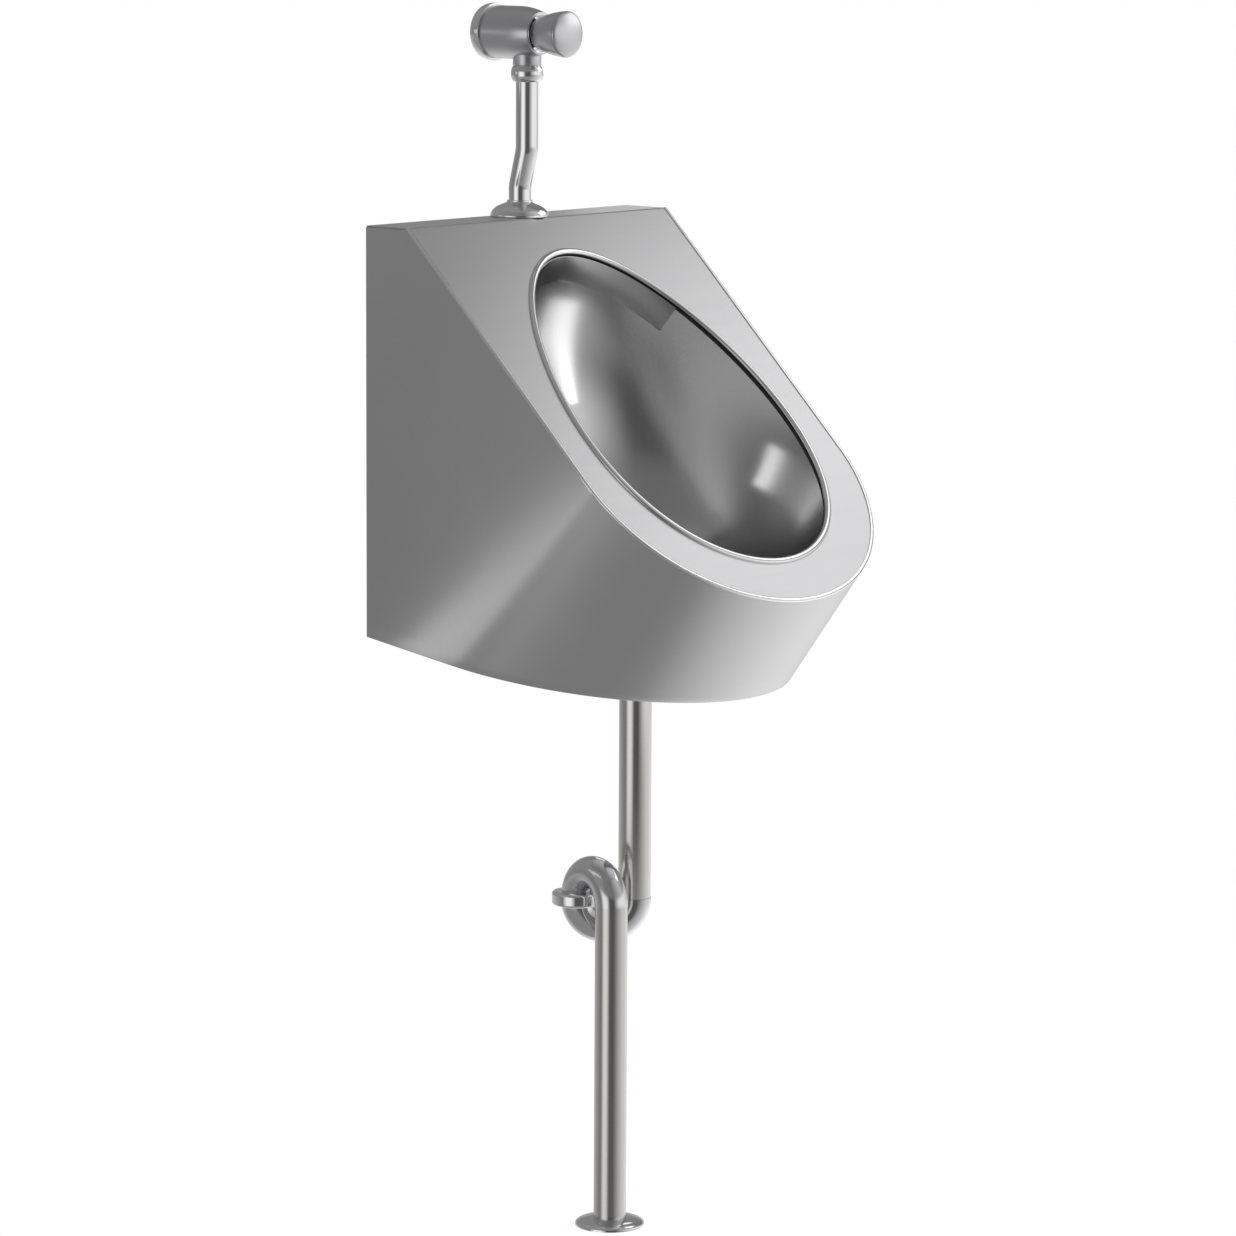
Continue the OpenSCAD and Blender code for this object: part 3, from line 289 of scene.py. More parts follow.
# %% One recipe for bare metal
def metal(name, colour, roughness, grain=0.0, stretch=(1, 1, 1), clouds=0.02, cloud_scale=6.0,
          bump=0.0, bump_height=0.0001, anisotropy=0.0, along_uv=False, tint=0.04):
    """Roughness = base + grain * (fine - 0.5) + clouds * (clouds - 0.5); colour varies by tint."""
    material = bpy.data.materials.new(name)
    material.use_nodes = True
    tree = material.node_tree
    shader = tree.nodes["Principled BSDF"]
    shader.inputs["Metallic"].default_value = 1.0
    shader.inputs["Anisotropic"].default_value = anisotropy
    place = tree.nodes.new("ShaderNodeTexCoord")
    where = place.outputs["Object"]
    grain_where = where
    if along_uv:
        grain_where = add(tree, "ShaderNodeUVMap", uv_map="along").outputs[0]
    lines = add(tree, "ShaderNodeGroup", node_tree=GRAIN)
    tree.links.new(grain_where, lines.inputs["Vector"])
    lines.inputs["Stretch"].default_value = stretch
    wiped = add(tree, "ShaderNodeGroup", node_tree=WIPE)
    tree.links.new(where, wiped.inputs["Vector"])
    wiped.inputs["Scale"].default_value = cloud_scale
    rough = math_node(tree, "MULTIPLY_ADD", lines.outputs["Fine"], grain, roughness - grain / 2)
    rough = math_node(tree, "MULTIPLY_ADD", wiped.outputs["Clouds"], clouds,
                      math_node(tree, "SUBTRACT", rough, clouds / 2), clamp=True)
    tree.links.new(rough, shader.inputs["Roughness"])
    shade = add(tree, "ShaderNodeMix", data_type="RGBA")
    shade.inputs["A"].default_value = (*[c * (1 - tint) for c in colour], 1)
    shade.inputs["B"].default_value = (*[min(1, c * (1 + tint)) for c in colour], 1)
    mixed = math_node(tree, "MULTIPLY_ADD", lines.outputs["Broad"], 0.5,
                      math_node(tree, "MULTIPLY", wiped.outputs["Clouds"], 0.5))
    tree.links.new(mixed, shade.inputs["Factor"])
    tree.links.new(shade.outputs["Result"], shader.inputs["Base Color"])
    if bump:
        relief = add(tree, "ShaderNodeBump", {"Height": lines.outputs["Fine"]},
                     Strength=bump, Distance=bump_height)
        tree.links.new(relief.outputs[0], shader.inputs["Normal"])
    return material


# %% [markdown]
# The sheet steel has a satin grain that runs along the bend of each sheet, so its noise is squeezed
# across the grain and drawn out along it. On the wrapped shell and the bowl it follows the surface's
# own coordinates; on the flat sheets the plain object coordinates will do.

# %% Steel, chrome, brass and rubber
SATIN_WRAP = metal("satin_steel_wrapped", (0.60, 0.60, 0.605), 0.31, grain=0.08,
                   stretch=(8, 900, 1), clouds=0.05, bump=0.04, along_uv=True)
SATIN_FLAT = metal("satin_steel_flat", (0.65, 0.65, 0.66), 0.37, grain=0.08,
                   stretch=(10, 700, 700), clouds=0.05, bump=0.03)
SATIN_BOWL = metal("satin_steel_bowl", (0.61, 0.61, 0.61), 0.23, grain=0.02,
                   stretch=(8, 400, 1), clouds=0.03, bump=0.006, along_uv=True)
SATIN_PIPE = metal("satin_pipe", (0.68, 0.67, 0.64), 0.19, grain=0.04,
                   stretch=(500, 500, 6), clouds=0.04, cloud_scale=14, bump=0.01)
SOFT_CHROME = metal("drawn_chrome", (0.72, 0.72, 0.73), 0.14, grain=0.03,
                    stretch=(30, 30, 30), clouds=0.03, cloud_scale=18)
SATIN_CHROME = metal("satin_chrome", (0.62, 0.62, 0.64), 0.30, grain=0.03,
                     stretch=(30, 400, 30), clouds=0.04, cloud_scale=18)
# Painted shade: a near-black metal that stands for the shadow in the gap under the mouth's rolled
# rim.
PAINTED_SHADE = metal("painted_shade_line", (0.07, 0.07, 0.07), 0.45, grain=0.1,
             stretch=(60, 60, 60), clouds=0.1, cloud_scale=20)
POLISHED = metal("polished_edge", (0.82, 0.82, 0.82), 0.12, grain=0.03,
                 stretch=(60, 60, 60), clouds=0.04, cloud_scale=14)
CHROME = metal("chrome_plate", (0.80, 0.80, 0.81), 0.06, grain=0.01,
               stretch=(30, 30, 30), clouds=0.03, cloud_scale=18, tint=0.02)
MILL_STEEL = metal("zinc_coated_steel", (0.50, 0.51, 0.52), 0.45, grain=0.15,
                   stretch=(90, 90, 90), clouds=0.15, cloud_scale=30, bump=0.1, tint=0.12)
BRASS = metal("machined_brass", (0.72, 0.55, 0.28), 0.28, grain=0.1,
              stretch=(40, 900, 40), clouds=0.08, cloud_scale=20, bump=0.08, tint=0.08)


def rubber(name):
    """Matt black with a dusty bloom: a plain dielectric whose roughness and shade are cloudy."""
    material = bpy.data.materials.new(name)
    material.use_nodes = True
    tree = material.node_tree
    shader = tree.nodes["Principled BSDF"]
    place = tree.nodes.new("ShaderNodeTexCoord")
    wiped = add(tree, "ShaderNodeGroup", {"Vector": place.outputs["Object"]}, node_tree=WIPE)
    wiped.inputs["Scale"].default_value = 40
    rough = math_node(tree, "MULTIPLY_ADD", wiped.outputs["Clouds"], 0.2, 0.55)
    tree.links.new(rough, shader.inputs["Roughness"])
    shade = add(tree, "ShaderNodeMix", {"Factor": wiped.outputs["Clouds"]}, data_type="RGBA")
    shade.inputs["A"].default_value = (0.012, 0.012, 0.012, 1)
    shade.inputs["B"].default_value = (0.045, 0.044, 0.042, 1)
    tree.links.new(shade.outputs["Result"], shader.inputs["Base Color"])
    relief = add(tree, "ShaderNodeBump", {"Height": wiped.outputs["Spots"]},
                 Strength=0.2, Distance=0.0002)
    tree.links.new(relief.outputs[0], shader.inputs["Normal"])
    return material


RUBBER = rubber("black_rubber_bloom")
print("finishes:", [m.name for m in bpy.data.materials])

# %% [markdown]
# ## The wrapped shell
#
# On the real urinal one sheet wraps round both sides and the raked front. It is a ruled surface:
# straight lines join a curve under the face to a curve at the bottom. A loft between two curves
# gives just that, with no cloth or subdivision to soften it, so the highlight runs straight along
# those lines as it does on bent sheet.


# %% The curves of the body
def on_face(x, q, h=0.0):
    """x along the fold, q down the slope from it, h square out of the face."""
    x, q, h = np.broadcast_arrays(*(np.asarray(v, float) for v in (x, q, h)))
    return np.stack([x, -(FOLD + q * math.cos(SLOPE)) - h * math.sin(SLOPE),
                     TOP - q * math.sin(SLOPE) + h * math.cos(SLOPE)], axis=-1)


def round_front(t, w, reach, n):
    """Half superellipse: x = -w cos(t)^(2/n), y = reach sin(t)^(2/n), for t from 0 to pi."""
    c, s = np.cos(t), np.abs(np.sin(t))
    return -w * np.sign(c) * np.abs(c) ** (2 / n), reach * s ** (2 / n)


def on_rim(x, depth):
    """A point of the bottom rim, which dips towards its front."""
    return np.stack([x, -(WALL_GAP + depth), BOTTOM - depth * math.tan(DIP)], axis=-1)


def shell_edges(inset, nose_steps=160, side_steps=24):
    """The shell's upper and lower edges, point for point, drawn in by inset."""
    w = HALF_W - inset
    t = np.linspace(0, math.pi, nose_steps + 1)
    x, y = round_front(t, w, NOSE - inset, NOSE_N)
    nose_top = on_face(x, CHEEK + y, -SHEET)
    x, y = round_front(t, w, RIM_FRONT - inset, RIM_N)
    nose_low = on_rim(x, RIM_SIDE + y)
    fold_y = FOLD - SHEET * math.tan(SLOPE / 2)
    deck = FOLD - WALL_GAP
    share = deck / (deck + CHEEK * math.cos(SLOPE))
    corners_top = np.array([[-w, -WALL_GAP, TOP - SHEET], [-w, -fold_y, TOP - SHEET]])
    corners_low = on_rim(np.array([-w, -w]), np.array([0, RIM_SIDE * share]))
    s = np.linspace(0, 1, side_steps, endpoint=False)[:, None]
    back = np.linspace(0, 1, 4, endpoint=False)[:, None]

    def whole(corners, nose):
        left = np.concatenate([corners[0] + back * (corners[1] - corners[0]),
                               corners[1] + s * (nose[0] - corners[1])])
        right = left[::-1] * np.array([-1, 1, 1])
        return np.concatenate([left, nose, right])

    return whole(corners_top, nose_top), whole(corners_low, nose_low)


# %% Build the shell
def shell_grid(down_steps=24):
    """Rows run round the body; columns go down the outside, round the lip and up the inside."""
    top_out, low_out = shell_edges(0)
    top_in, low_in = shell_edges(SHEET)
    down = low_out - top_out
    down /= np.linalg.norm(down, axis=1)[:, None]
    lip = SHEET / 2
    low_out, low_in = low_out - down * lip, low_in - down * lip
    f = np.linspace(0, 1, down_steps)[None, :, None]
    outer = top_out[:, None] * (1 - f) + low_out[:, None] * f
    inner = top_in[:, None] * f + low_in[:, None] * (1 - f)
    b = np.linspace(0, math.pi, 8)[1:-1][None, :, None]
    turn = (low_out[:, None] * (1 + np.cos(b)) + low_in[:, None] * (1 - np.cos(b))) / 2
    turn = turn + down[:, None] * lip * np.sin(b)
    return np.concatenate([outer, turn, inner], axis=1)


def lengths(grid):
    """UV from running lengths: along each row first, then down each column, in metres."""
    u = np.linalg.norm(np.diff(grid, axis=0), axis=2)
    v = np.linalg.norm(np.diff(grid, axis=1), axis=2)
    along = np.concatenate([np.zeros((1, grid.shape[1])), np.cumsum(u, axis=0)])
    across = np.concatenate([np.zeros((grid.shape[0], 1)), np.cumsum(v, axis=1)], axis=1)
    return np.stack([along, across], axis=-1)


grid = shell_grid()
shell = keep_edges(solid("shell", [(grid, False, True, True)], uvs=lengths(grid)))
finish(shell, SATIN_WRAP, "urinal", "satin_steel", "outer_shell")

# %% [markdown]
# ## The folded top sheet
#
# The deck and the sloping face are one sheet with a tight fold between them and an oval mouth cut
# in the face. A boolean cut would leave long thin faces round the mouth, which show in a metal
# reflection, so the face is made of rings instead: each ring lies between the mouth's outline and
# the sheet's outline, and the two are matched by direction.


# %% The mouth and the rings round it
def mouth_point(a, g=0.0):
    """An egg: x = (w/2 + g) sin a (1 + egg cos a), q = middle + (l/2 + g) cos a."""
    return ((MOUTH_W / 2 + g) * np.sin(a) * (1 + MOUTH_EGG * np.cos(a)),
            MOUTH_MID + (MOUTH_L / 2 + g) * np.cos(a))


def matching_angle(x, q):
    """The mouth's angle that lies in the direction of (x, q), found by repeated correction."""
    a = np.arctan2(x / (MOUTH_W / 2), (q - MOUTH_MID) / (MOUTH_L / 2))
    for _ in range(12):
        wide = MOUTH_W / 2 * (1 + MOUTH_EGG * np.cos(a))
        a = np.arctan2(x / wide, (q - MOUTH_MID) / (MOUTH_L / 2))
    return a


def rings(inner, outer, steps=10, strip=0.02):
    """Closed rings from inner to outer, with a narrow one at each edge to keep the shading flat."""
    f = np.concatenate([[0, strip], np.linspace(strip, 1 - strip, steps)[1:-1], [1 - strip, 1]])
    return inner[None] * (1 - f)[:, None, None] + outer[None] * f[:, None, None]


def line(a, b, steps):
    """Points from a to b, leaving b out."""
    f = np.linspace(0, 1, steps, endpoint=False)[:, None]
    return np.asarray(a, float) * (1 - f) + np.asarray(b, float) * f


HEM_IN = 1.2 * MM
FOLD_R = 3 * MM
WIDE, LONG, SHORT = 72, 40, 6  # steps along the fold, down a side, and over the deck's depth
fold_cut = FOLD_R * math.tan(SLOPE / 2)
t = np.linspace(0, math.pi, 161)
nose_x, nose_y = round_front(t, HALF_W - HEM_IN, NOSE - HEM_IN, NOSE_N)
side = HALF_W - HEM_IN
outline = np.concatenate([
    line([side, fold_cut], [-side, fold_cut], WIDE),
    line([-side, fold_cut], [-side, CHEEK], LONG),
    np.stack([nose_x, CHEEK + nose_y], axis=-1)[:-1],
    line([side, CHEEK], [side, fold_cut], LONG),
])
angle = matching_angle(outline[:, 0], outline[:, 1])
mouth_x, mouth_q = mouth_point(angle, 0.2 * MM)
face_rings = rings(on_face(mouth_x, mouth_q), on_face(outline[:, 0], outline[:, 1]))
print("face rings", face_rings.shape)

# %% The fold, the deck with its hole, and the sheet's thickness
fold_x = np.append(outline[:WIDE, 0], -side)
turn = np.linspace(0, SLOPE, 9)
fold_y = -(FOLD - fold_cut) - FOLD_R * np.sin(turn)
fold_z = TOP - FOLD_R * (1 - np.cos(turn))
fold_rows = np.stack(np.broadcast_arrays(fold_x[None], fold_y[:, None], fold_z[:, None]), axis=-1)

deck_front = -(FOLD - fold_cut)
deck_outline = np.concatenate([
    np.stack([fold_x, np.full(WIDE + 1, deck_front)], axis=-1)[:-1],
    line([-side, deck_front], [-side, -WALL_GAP], SHORT),
    line([-side, -WALL_GAP], [side, -WALL_GAP], WIDE),
    line([side, -WALL_GAP], [side, deck_front], SHORT),
])
from_hole = deck_outline - np.array([0, INLET_Y])
from_hole /= np.linalg.norm(from_hole, axis=1)[:, None]
hole = np.array([0, INLET_Y]) + from_hole * INLET_R


def on_deck(points):
    """Points of the plan, lifted to the deck's height."""
    return np.column_stack([points, np.full(len(points), TOP)])


deck_rings = rings(on_deck(hole), on_deck(deck_outline), steps=6)

top_sheet = solid("top_sheet", [
    (face_rings, False, True, False), (fold_rows, False, False, False),
    (deck_rings, False, True, False)])
if sum(polygon.normal.z for polygon in top_sheet.data.polygons) < 0:
    top_sheet.data.flip_normals()
thick = top_sheet.modifiers.new("sheet", "SOLIDIFY")
thick.thickness, thick.offset = SHEET, -1
finish(top_sheet, SATIN_FLAT, "urinal", "satin_steel", "face_panel")

# %% [markdown]
# The sheet's edge is folded over the shell and polished, which draws the bright line round the
# face. It is a small profile carried along the outline: up from the face, over, and down outside.


# %% The polished hem
def hem_ring(inset, h):
    """The face's open outline, from one end of the fold to the other, at an inset and a height."""
    w = HALF_W - inset
    x, y = round_front(np.linspace(0, math.pi, 161), w, NOSE - inset, NOSE_N)
    path = np.concatenate([line([-w, 0], [-w, CHEEK], 24), np.stack([x, CHEEK + y], axis=-1),
                           line([w, 0], [w, CHEEK], 24)[::-1]])
    return on_face(path[:, 0], path[:, 1], h)


hem_outline = rounded(np.array([
    [1.3, -1.5], [4.0, -0.2], [4.0, 0.55], [2.2, 1.0], [0.0, 0.6], [0.0, -1.5]]) * MM, 1.2 * MM, 4)
hem_grid = np.stack([hem_ring(inset, h) for inset, h in hem_outline], axis=1)
hem = keep_edges(solid("hem", [(hem_grid, False, True, True)]), 50)
finish(hem, POLISHED, "urinal", "polished_steel", "face_hem")

# %% [markdown]
# ## The bowl
#
# The bowl is pressed from one sheet. Its wall leaves the mouth square to the face and ends nearly
# level at the drain's seat. For each direction round the mouth that is a cubic curve with those two
# headings, and all the curves together are one smooth surface. The wall's inside is the same
# surface, drawn in by the sheet's thickness.


# %% The bowl's wall
WALL_REACH = (45, 120, 85)  # mm square to the face, at the mouth's front, sides and back
FOOT_REACH, FOOT_LIFT = (70, 100, 92), 12 * MM  # mm out from the seat, and the rise above it


def round_mix(a, front, side_value, back):
    """side sin^2 a + (front or back) cos^2 a."""
    return side_value * np.sin(a) ** 2 + np.where(np.cos(a) > 0, front, back) * np.cos(a) ** 2


def seat_point(a, r, depth):
    """A point r from the drain's axis in direction a, at a depth below the seat."""
    return np.stack(np.broadcast_arrays(r * np.sin(a), DRAIN_Y - r * np.cos(a), SEAT_Z - depth),
                    axis=-1)


def bowl_wall(a, t, g):
    """Cubic (1-t)^3 start + 3t(1-t)^2 square + 3t^2(1-t) foot + t^3 seat, for each angle a."""
    x, q = mouth_point(a, g)
    start = on_face(x, q)
    square = on_face(x, q, -round_mix(a, *WALL_REACH) * MM)
    foot = seat_point(a, SEAT_R + round_mix(a, *FOOT_REACH) * MM, SHEET + g - FOOT_LIFT)
    seat = seat_point(a, SEAT_R, SHEET + g)
    t = t[None, :, None]
    return (start[:, None] * (1 - t) ** 3 + 3 * square[:, None] * t * (1 - t) ** 2
            + 3 * foot[:, None] * t**2 * (1 - t) + seat[:, None] * t**3)


angles = np.linspace(0, 2 * math.pi, 192, endpoint=False)
steps_down = np.linspace(0, 1, 57)
hole_ring = seat_point(angles, DRAIN_R, 0.0)[:, None]
hole_under = seat_point(angles, DRAIN_R, SHEET)[:, None]
bowl_grid = np.concatenate([bowl_wall(angles, steps_down, -SHEET), hole_ring, hole_under,
                            bowl_wall(angles, steps_down[::-1], 0.0)], axis=1)
bowl = keep_edges(solid("pressed_bowl", [(bowl_grid, True, True, False)], uvs=lengths(bowl_grid)), 60)
finish(bowl, SATIN_BOWL, "urinal", "satin_steel", "bowl")

# %% The rolled rim round the mouth
def mouth_loop(g, h):
    """The mouth's outline, grown by g, at height h above the face."""
    x, q = mouth_point(angles, g)
    return on_face(x, q, h)


bend = np.linspace(0, math.pi, 17)
over = np.stack([3.5 * np.cos(bend) + 0.2, 3.0 * np.sin(bend)], axis=-1)
inside = np.array([[-3.2, -1.2], [-2.6, -2.6], [-1.6, -3.2], [-0.2, -3.2], [-0.2, 0.0]])
rim_outline = np.concatenate([over, inside]) * MM
rim_grid = np.stack([mouth_loop(g, h) for g, h in rim_outline], axis=1)
rim = keep_edges(solid("mouth_rim", [(rim_grid, True, True, False)]), 50)
finish(rim, POLISHED, "urinal", "polished_steel", "mouth_bead")
# Painted shade: the rim's inner flank and the top of the bowl's wall under it take the near-black
# metal, for the shadow in the gap between them.
RIM_SHADE_DEPTH, WALL_SHADE_DEPTH = 10 * MM, 3.4 * MM
line_below_face(rim, 0, RIM_SHADE_DEPTH, PAINTED_SHADE)
line_below_face(bowl, 0, WALL_SHADE_DEPTH, PAINTED_SHADE)

# %% [markdown]
# Below the rim a thin dark line of painted shade stands for the shadow in the gap where the rim grips
# the bowl: the faces that lie there take a near-black metal. Under the top of the rim a narrow strip
# of steel hangs from the wall and leans away from it. The flush water strikes it from behind and
# spreads sideways, so it washes the whole bowl. Its upper edge follows the wall, and its lower edge
# stands off by a fixed distance, so each cross-section is a thin leaning bar between those two.

# %% The spreader
sweep = np.radians(np.linspace(180 - 53, 180 + 53, 97))
STRIP_DROP, STRIP_W, STRIP_GAP = 3 * MM, 27 * MM, 12 * MM


def wall_inset(a, depth):
    """How far inside the mouth's outline the bowl's wall lies, at a depth under the face."""
    share = depth / (3 * round_mix(a, *WALL_REACH) * MM)
    point = np.einsum("iik->ik", bowl_wall(a, share, -SHEET))
    down_face = -(point[:, 1] + FOLD) * math.cos(SLOPE) + (TOP - point[:, 2]) * math.sin(SLOPE)
    edge_x, edge_q = mouth_point(a)
    return np.hypot(point[:, 0] - edge_x, down_face - edge_q)


seat_gap = wall_inset(sweep, STRIP_DROP) + 0.7 * MM
strip_outline = rounded(np.array([[0.75, 0], [0, 0], [0, 27], [1.5, 27], [1.5, 0], [0.75, 0]]) * MM,
                        0.4 * MM, 3)[:-1]


def strip_line(across, down):
    """The strip's long line at a depth in its thickness and a distance down its width."""
    lean = seat_gap + (STRIP_GAP - seat_gap) * down / STRIP_W + across
    x, q = mouth_point(sweep, -lean)
    return on_face(x, q, -STRIP_DROP - down)


strip_grid = np.stack([strip_line(across, down) for across, down in strip_outline], axis=1)
spreader = keep_edges(solid("spreader_strip", [(strip_grid, False, True, True)]), 40)
finish(spreader, SATIN_BOWL, "urinal", "satin_steel", "spreader")

# %% [markdown]
# ## The flush tube and its fittings
#
# The tube hangs from the valve, steps back towards the wall in two gentle bends and drops into the
# spud on the deck. A pipe is a circle carried along a path; the path is worked out as straights and
# arcs, and the circles stay square to it.


# %% The tube's path
def arc(centre, radius, start, stop, steps, plane):
    """Points centre + radius (cos a, sin a) in the plane of two directions."""
    a = np.linspace(start, stop, steps)[:, None]
    first, second = (np.asarray(p, float) for p in plane)
    return np.asarray(centre, float) + radius * (np.cos(a) * first + np.sin(a) * second)


BEND, BEND_R, TUBE_TOP = math.radians(14), 32 * MM, 218 * MM
BEND_TOP, TUBE_LOW = 150 * MM, 65 * MM
step_in = INLET_Y - OUTLET_Y
slant = (step_in - 2 * BEND_R * (1 - math.cos(BEND))) / math.sin(BEND)
BEND_LOW = BEND_TOP - 2 * BEND_R * math.sin(BEND) - slant * math.cos(BEND)
upper_arc = arc([0, OUTLET_Y + BEND_R, BEND_TOP], BEND_R, 0, BEND, 12, ([0, -1, 0], [0, 0, -1]))
lower_arc = arc([0, INLET_Y - BEND_R, BEND_LOW], BEND_R, BEND, 0, 12, ([0, 1, 0], [0, 0, 1]))
tube_path = np.concatenate([
    line([0, OUTLET_Y, TUBE_TOP], [0, OUTLET_Y, BEND_TOP], 12), upper_arc,
    line(upper_arc[-1], lower_arc[0], 6)[1:], lower_arc,
    line([0, INLET_Y, BEND_LOW], [0, INLET_Y, TUBE_LOW], 8)[1:], [[0, INLET_Y, TUBE_LOW]]])


def upright_sweep(path, r_out, r_in, steps=72):
    """A pipe wall along a path in the plane x = 0: its circles lean with the path."""
    along = np.gradient(path, axis=0)
    along /= np.linalg.norm(along, axis=1)[:, None]
    across = np.array([1.0, 0, 0])
    other = np.cross(along, across)
    a = np.linspace(0, 2 * math.pi, steps, endpoint=False)
    ring = np.cos(a)[None, :, None] * across + np.sin(a)[None, :, None] * other[:, None, :]
    return np.concatenate([path[:, None] + r_out * ring, (path[:, None] + r_in * ring)[::-1]])


tube = keep_edges(solid("flush_pipe", [
    (upright_sweep(tube_path, 11 * MM, 10 * MM), True, True, False)]), 40)
finish(tube, CHROME, "urinal", "bright_chrome", "flush_tube")

# %% The rosette on the deck and the ball nut under the valve
rosette_outline = rounded(np.array([
    [27.8, 1.0], [27.8, 0.2], [29.0, 0.2], [29.0, 2.2], [27.6, 6.0], [23.0, 10.2], [17.0, 12.6],
    [12.7, 14.2], [12.7, 16.2], [11.05, 16.2], [11.05, 13.0], [16.0, 11.4], [22.4, 8.6],
    [26.4, 5.0], [27.8, 1.0]]) * MM,
    np.array([0, .2, .3, 1.5, 3, 4, 3, .8, .5, .3, .3, 3, 3, 2, 0]) * MM)
rosette = keep_edges(solid("deck_rosette", [
    (turned(rosette_outline[:-1], (0, INLET_Y, TOP)), True, True, False)]), 40)
finish(rosette, CHROME, "top_rosette", "bright_chrome", "top_rosette")

ball = np.linspace(-60, 60, 17)
bulge = np.stack([11 + 5 * np.cos(np.radians(ball)),
                  8 * (1 + np.sin(np.radians(ball)) / math.sin(math.radians(60)))], axis=-1)
nut_outline = np.concatenate([bulge, [[12.05, 16], [12.05, 4], [11.05, 4], [11.05, 0]]]) * MM
ball_nut = keep_edges(solid("ball_nut", [
    (turned(nut_outline, (0, OUTLET_Y, VALVE_Z - 47.5 * MM)), True, True, False)]), 40)
finish(ball_nut, CHROME, "coupling_nut", "bright_chrome", "coupling_nut")

# %% [markdown]
# ## The push valve
#
# The valve is turned and chromed brass: a cup against the wall, a barrel, and a flared button with
# a domed cap. Its outlet leaves the barrel downwards. Each is a lathe outline along the valve's
# axis, which comes straight out of the wall.

# %% Cup, barrel, button and cap
AXIS = (0, 0, VALVE_Z)
cup_a = np.linspace(0, math.pi / 2, 12)
cup_curve = np.stack([24 + 4.5 * np.sin(cup_a), 11 * (1 - np.cos(cup_a))], axis=-1)
cup_outline = np.concatenate([
    cup_curve, rounded([[28.5, 11], [28.5, 13], [26.05, 13]], 0.8)[1:],
    [[26.05, 2.5], [10.8, 2.5], [10.8, 0]]]) * MM
cup = keep_edges(solid("wall_cup", [(turned(cup_outline, AXIS, True), True, True, False)]), 40)
finish(cup, CHROME, "urinal", "bright_chrome", "wall_flange")

taper = np.linspace(0, 1, 12)
barrel_outline = np.concatenate([
    [[10.5, 17], [10.5, 3], [26, 3]],
    np.stack([26 - 5 * taper**2, 43 + 28 * taper], axis=-1)[:-1],
    rounded([[21.4, 69.6], [21, 71], [19.55, 71]], 0.8)[1:],
    [[19.55, 61], [18, 61], [18, 40], [14, 40], [14, 17]]]) * MM
boss_outline = rounded(np.array([[8, -19], [14, -19], [14, -31.5], [12, -31.5], [12, -40.5],
                                 [8, -40.5], [8, -19]]) * MM, 0.6 * MM, 3)[:-1]
barrel = keep_edges(solid("valve_barrel", [
    (turned(barrel_outline, AXIS, True), True, True, False),
    (turned(boss_outline, (0, OUTLET_Y, VALVE_Z)), True, True, False)]), 35)
finish(barrel, SATIN_CHROME, "urinal", "bright_chrome", "valve_body")

d = np.linspace(0, 1, 16)
sleeve_r = 15.5 + 7 * (1 - (1 - d) ** 1.6)
sleeve_outline = np.concatenate([
    np.stack([sleeve_r, 70.5 + 33 * d], axis=-1),
    np.stack([sleeve_r - 1.6, 70.5 + 33 * d], axis=-1)[::-1]]) * MM
button = keep_edges(solid("button_sleeve", [(turned(sleeve_outline, AXIS, True), True, True, False)]))
finish(button, SATIN_CHROME, "push_button", "bright_chrome", "push_button")

dome = np.linspace(0, math.pi / 2, 14)
cap_outline = np.concatenate([
    [[0, 101.5], [19.5, 101.5], [19.5, 103.5]], rounded([[19.5, 103.5], [22.5, 103.5],
                                                        [22.5, 104.5]], 0.5)[1:],
    np.stack([22.5 * np.cos(dome), 104.5 + 5 * np.sin(dome)], axis=-1)[1:]]) * MM
cap = keep_edges(solid("button_dome", [(turned(cap_outline, AXIS, True), False, True, False)]))
finish(cap, SATIN_CHROME, "push_button", "bright_chrome", "button_cap")

# %% [markdown]
# ## The waste pipe and the trap
#
# The tailpipe drops from the bowl into the first bend of the trap. That bend turns it up again, a
# union nut joins it to the second bend, and this one turns down into the standpipe. The water that
# stays in the first bend keeps the drain's air out.

# %% Pipes and nuts
LOWER_TOP, UPPER_LOW, TAIL_TOP = JOINT_Z - 1 * MM, JOINT_Z + 1 * MM, -304 * MM
tail = pipe("tail_pipe", DRAIN, LOWER_TOP, TAIL_TOP, 16 * MM, 14.8 * MM)
finish(tail, SATIN_PIPE, "urinal", "bright_chrome", "tailpipe")
stand_outline = np.array([
    [14.5 * MM, JOINT_Z], [14.5 * MM, UPPER_LOW], [16 * MM, UPPER_LOW], [16 * MM, FLOOR_Z],
    [14.7 * MM, FLOOR_Z], [14.7 * MM, FLOOR_Z - 0.5 * MM], [15 * MM, FLOOR_Z - 0.5 * MM],
    [15 * MM, PIPE_END], [13.5 * MM, PIPE_END], [13.5 * MM, FLOOR_Z + 1.5 * MM],
    [14.5 * MM, FLOOR_Z + 3 * MM]])
stand = keep_edges(solid("stand_pipe", [
    (turned(stand_outline, (STAND[0], STAND[1], 0)), True, True, False)]), 40)
finish(stand, SATIN_PIPE, "urinal", "bright_chrome", "standpipe")


def half_bend(start, turn_angle, level, r_out, r_in, hang, steps=48):
    """A half circle of pipe from start to TRAP_C away, hanging below the level or standing on it."""
    heading = np.array([math.cos(turn_angle), math.sin(turn_angle), 0])
    across = np.array([-math.sin(turn_angle), math.cos(turn_angle), 0])
    middle = np.array([start[0], start[1], level]) + heading * TRAP_C / 2
    a = np.linspace(math.pi, 0, steps)[:, None]
    rise = np.array([0, 0, -1.0 if hang else 1.0])
    out = np.cos(a) * heading + np.sin(a) * rise
    b = np.linspace(0, 2 * math.pi, 64, endpoint=False)[None, :, None]
    ring = np.cos(b) * out[:, None, :] + np.sin(b) * across
    path = (middle + TRAP_C / 2 * out)[:, None, :]
    return np.concatenate([path + r_out * ring, (path + r_in * ring)[::-1]])


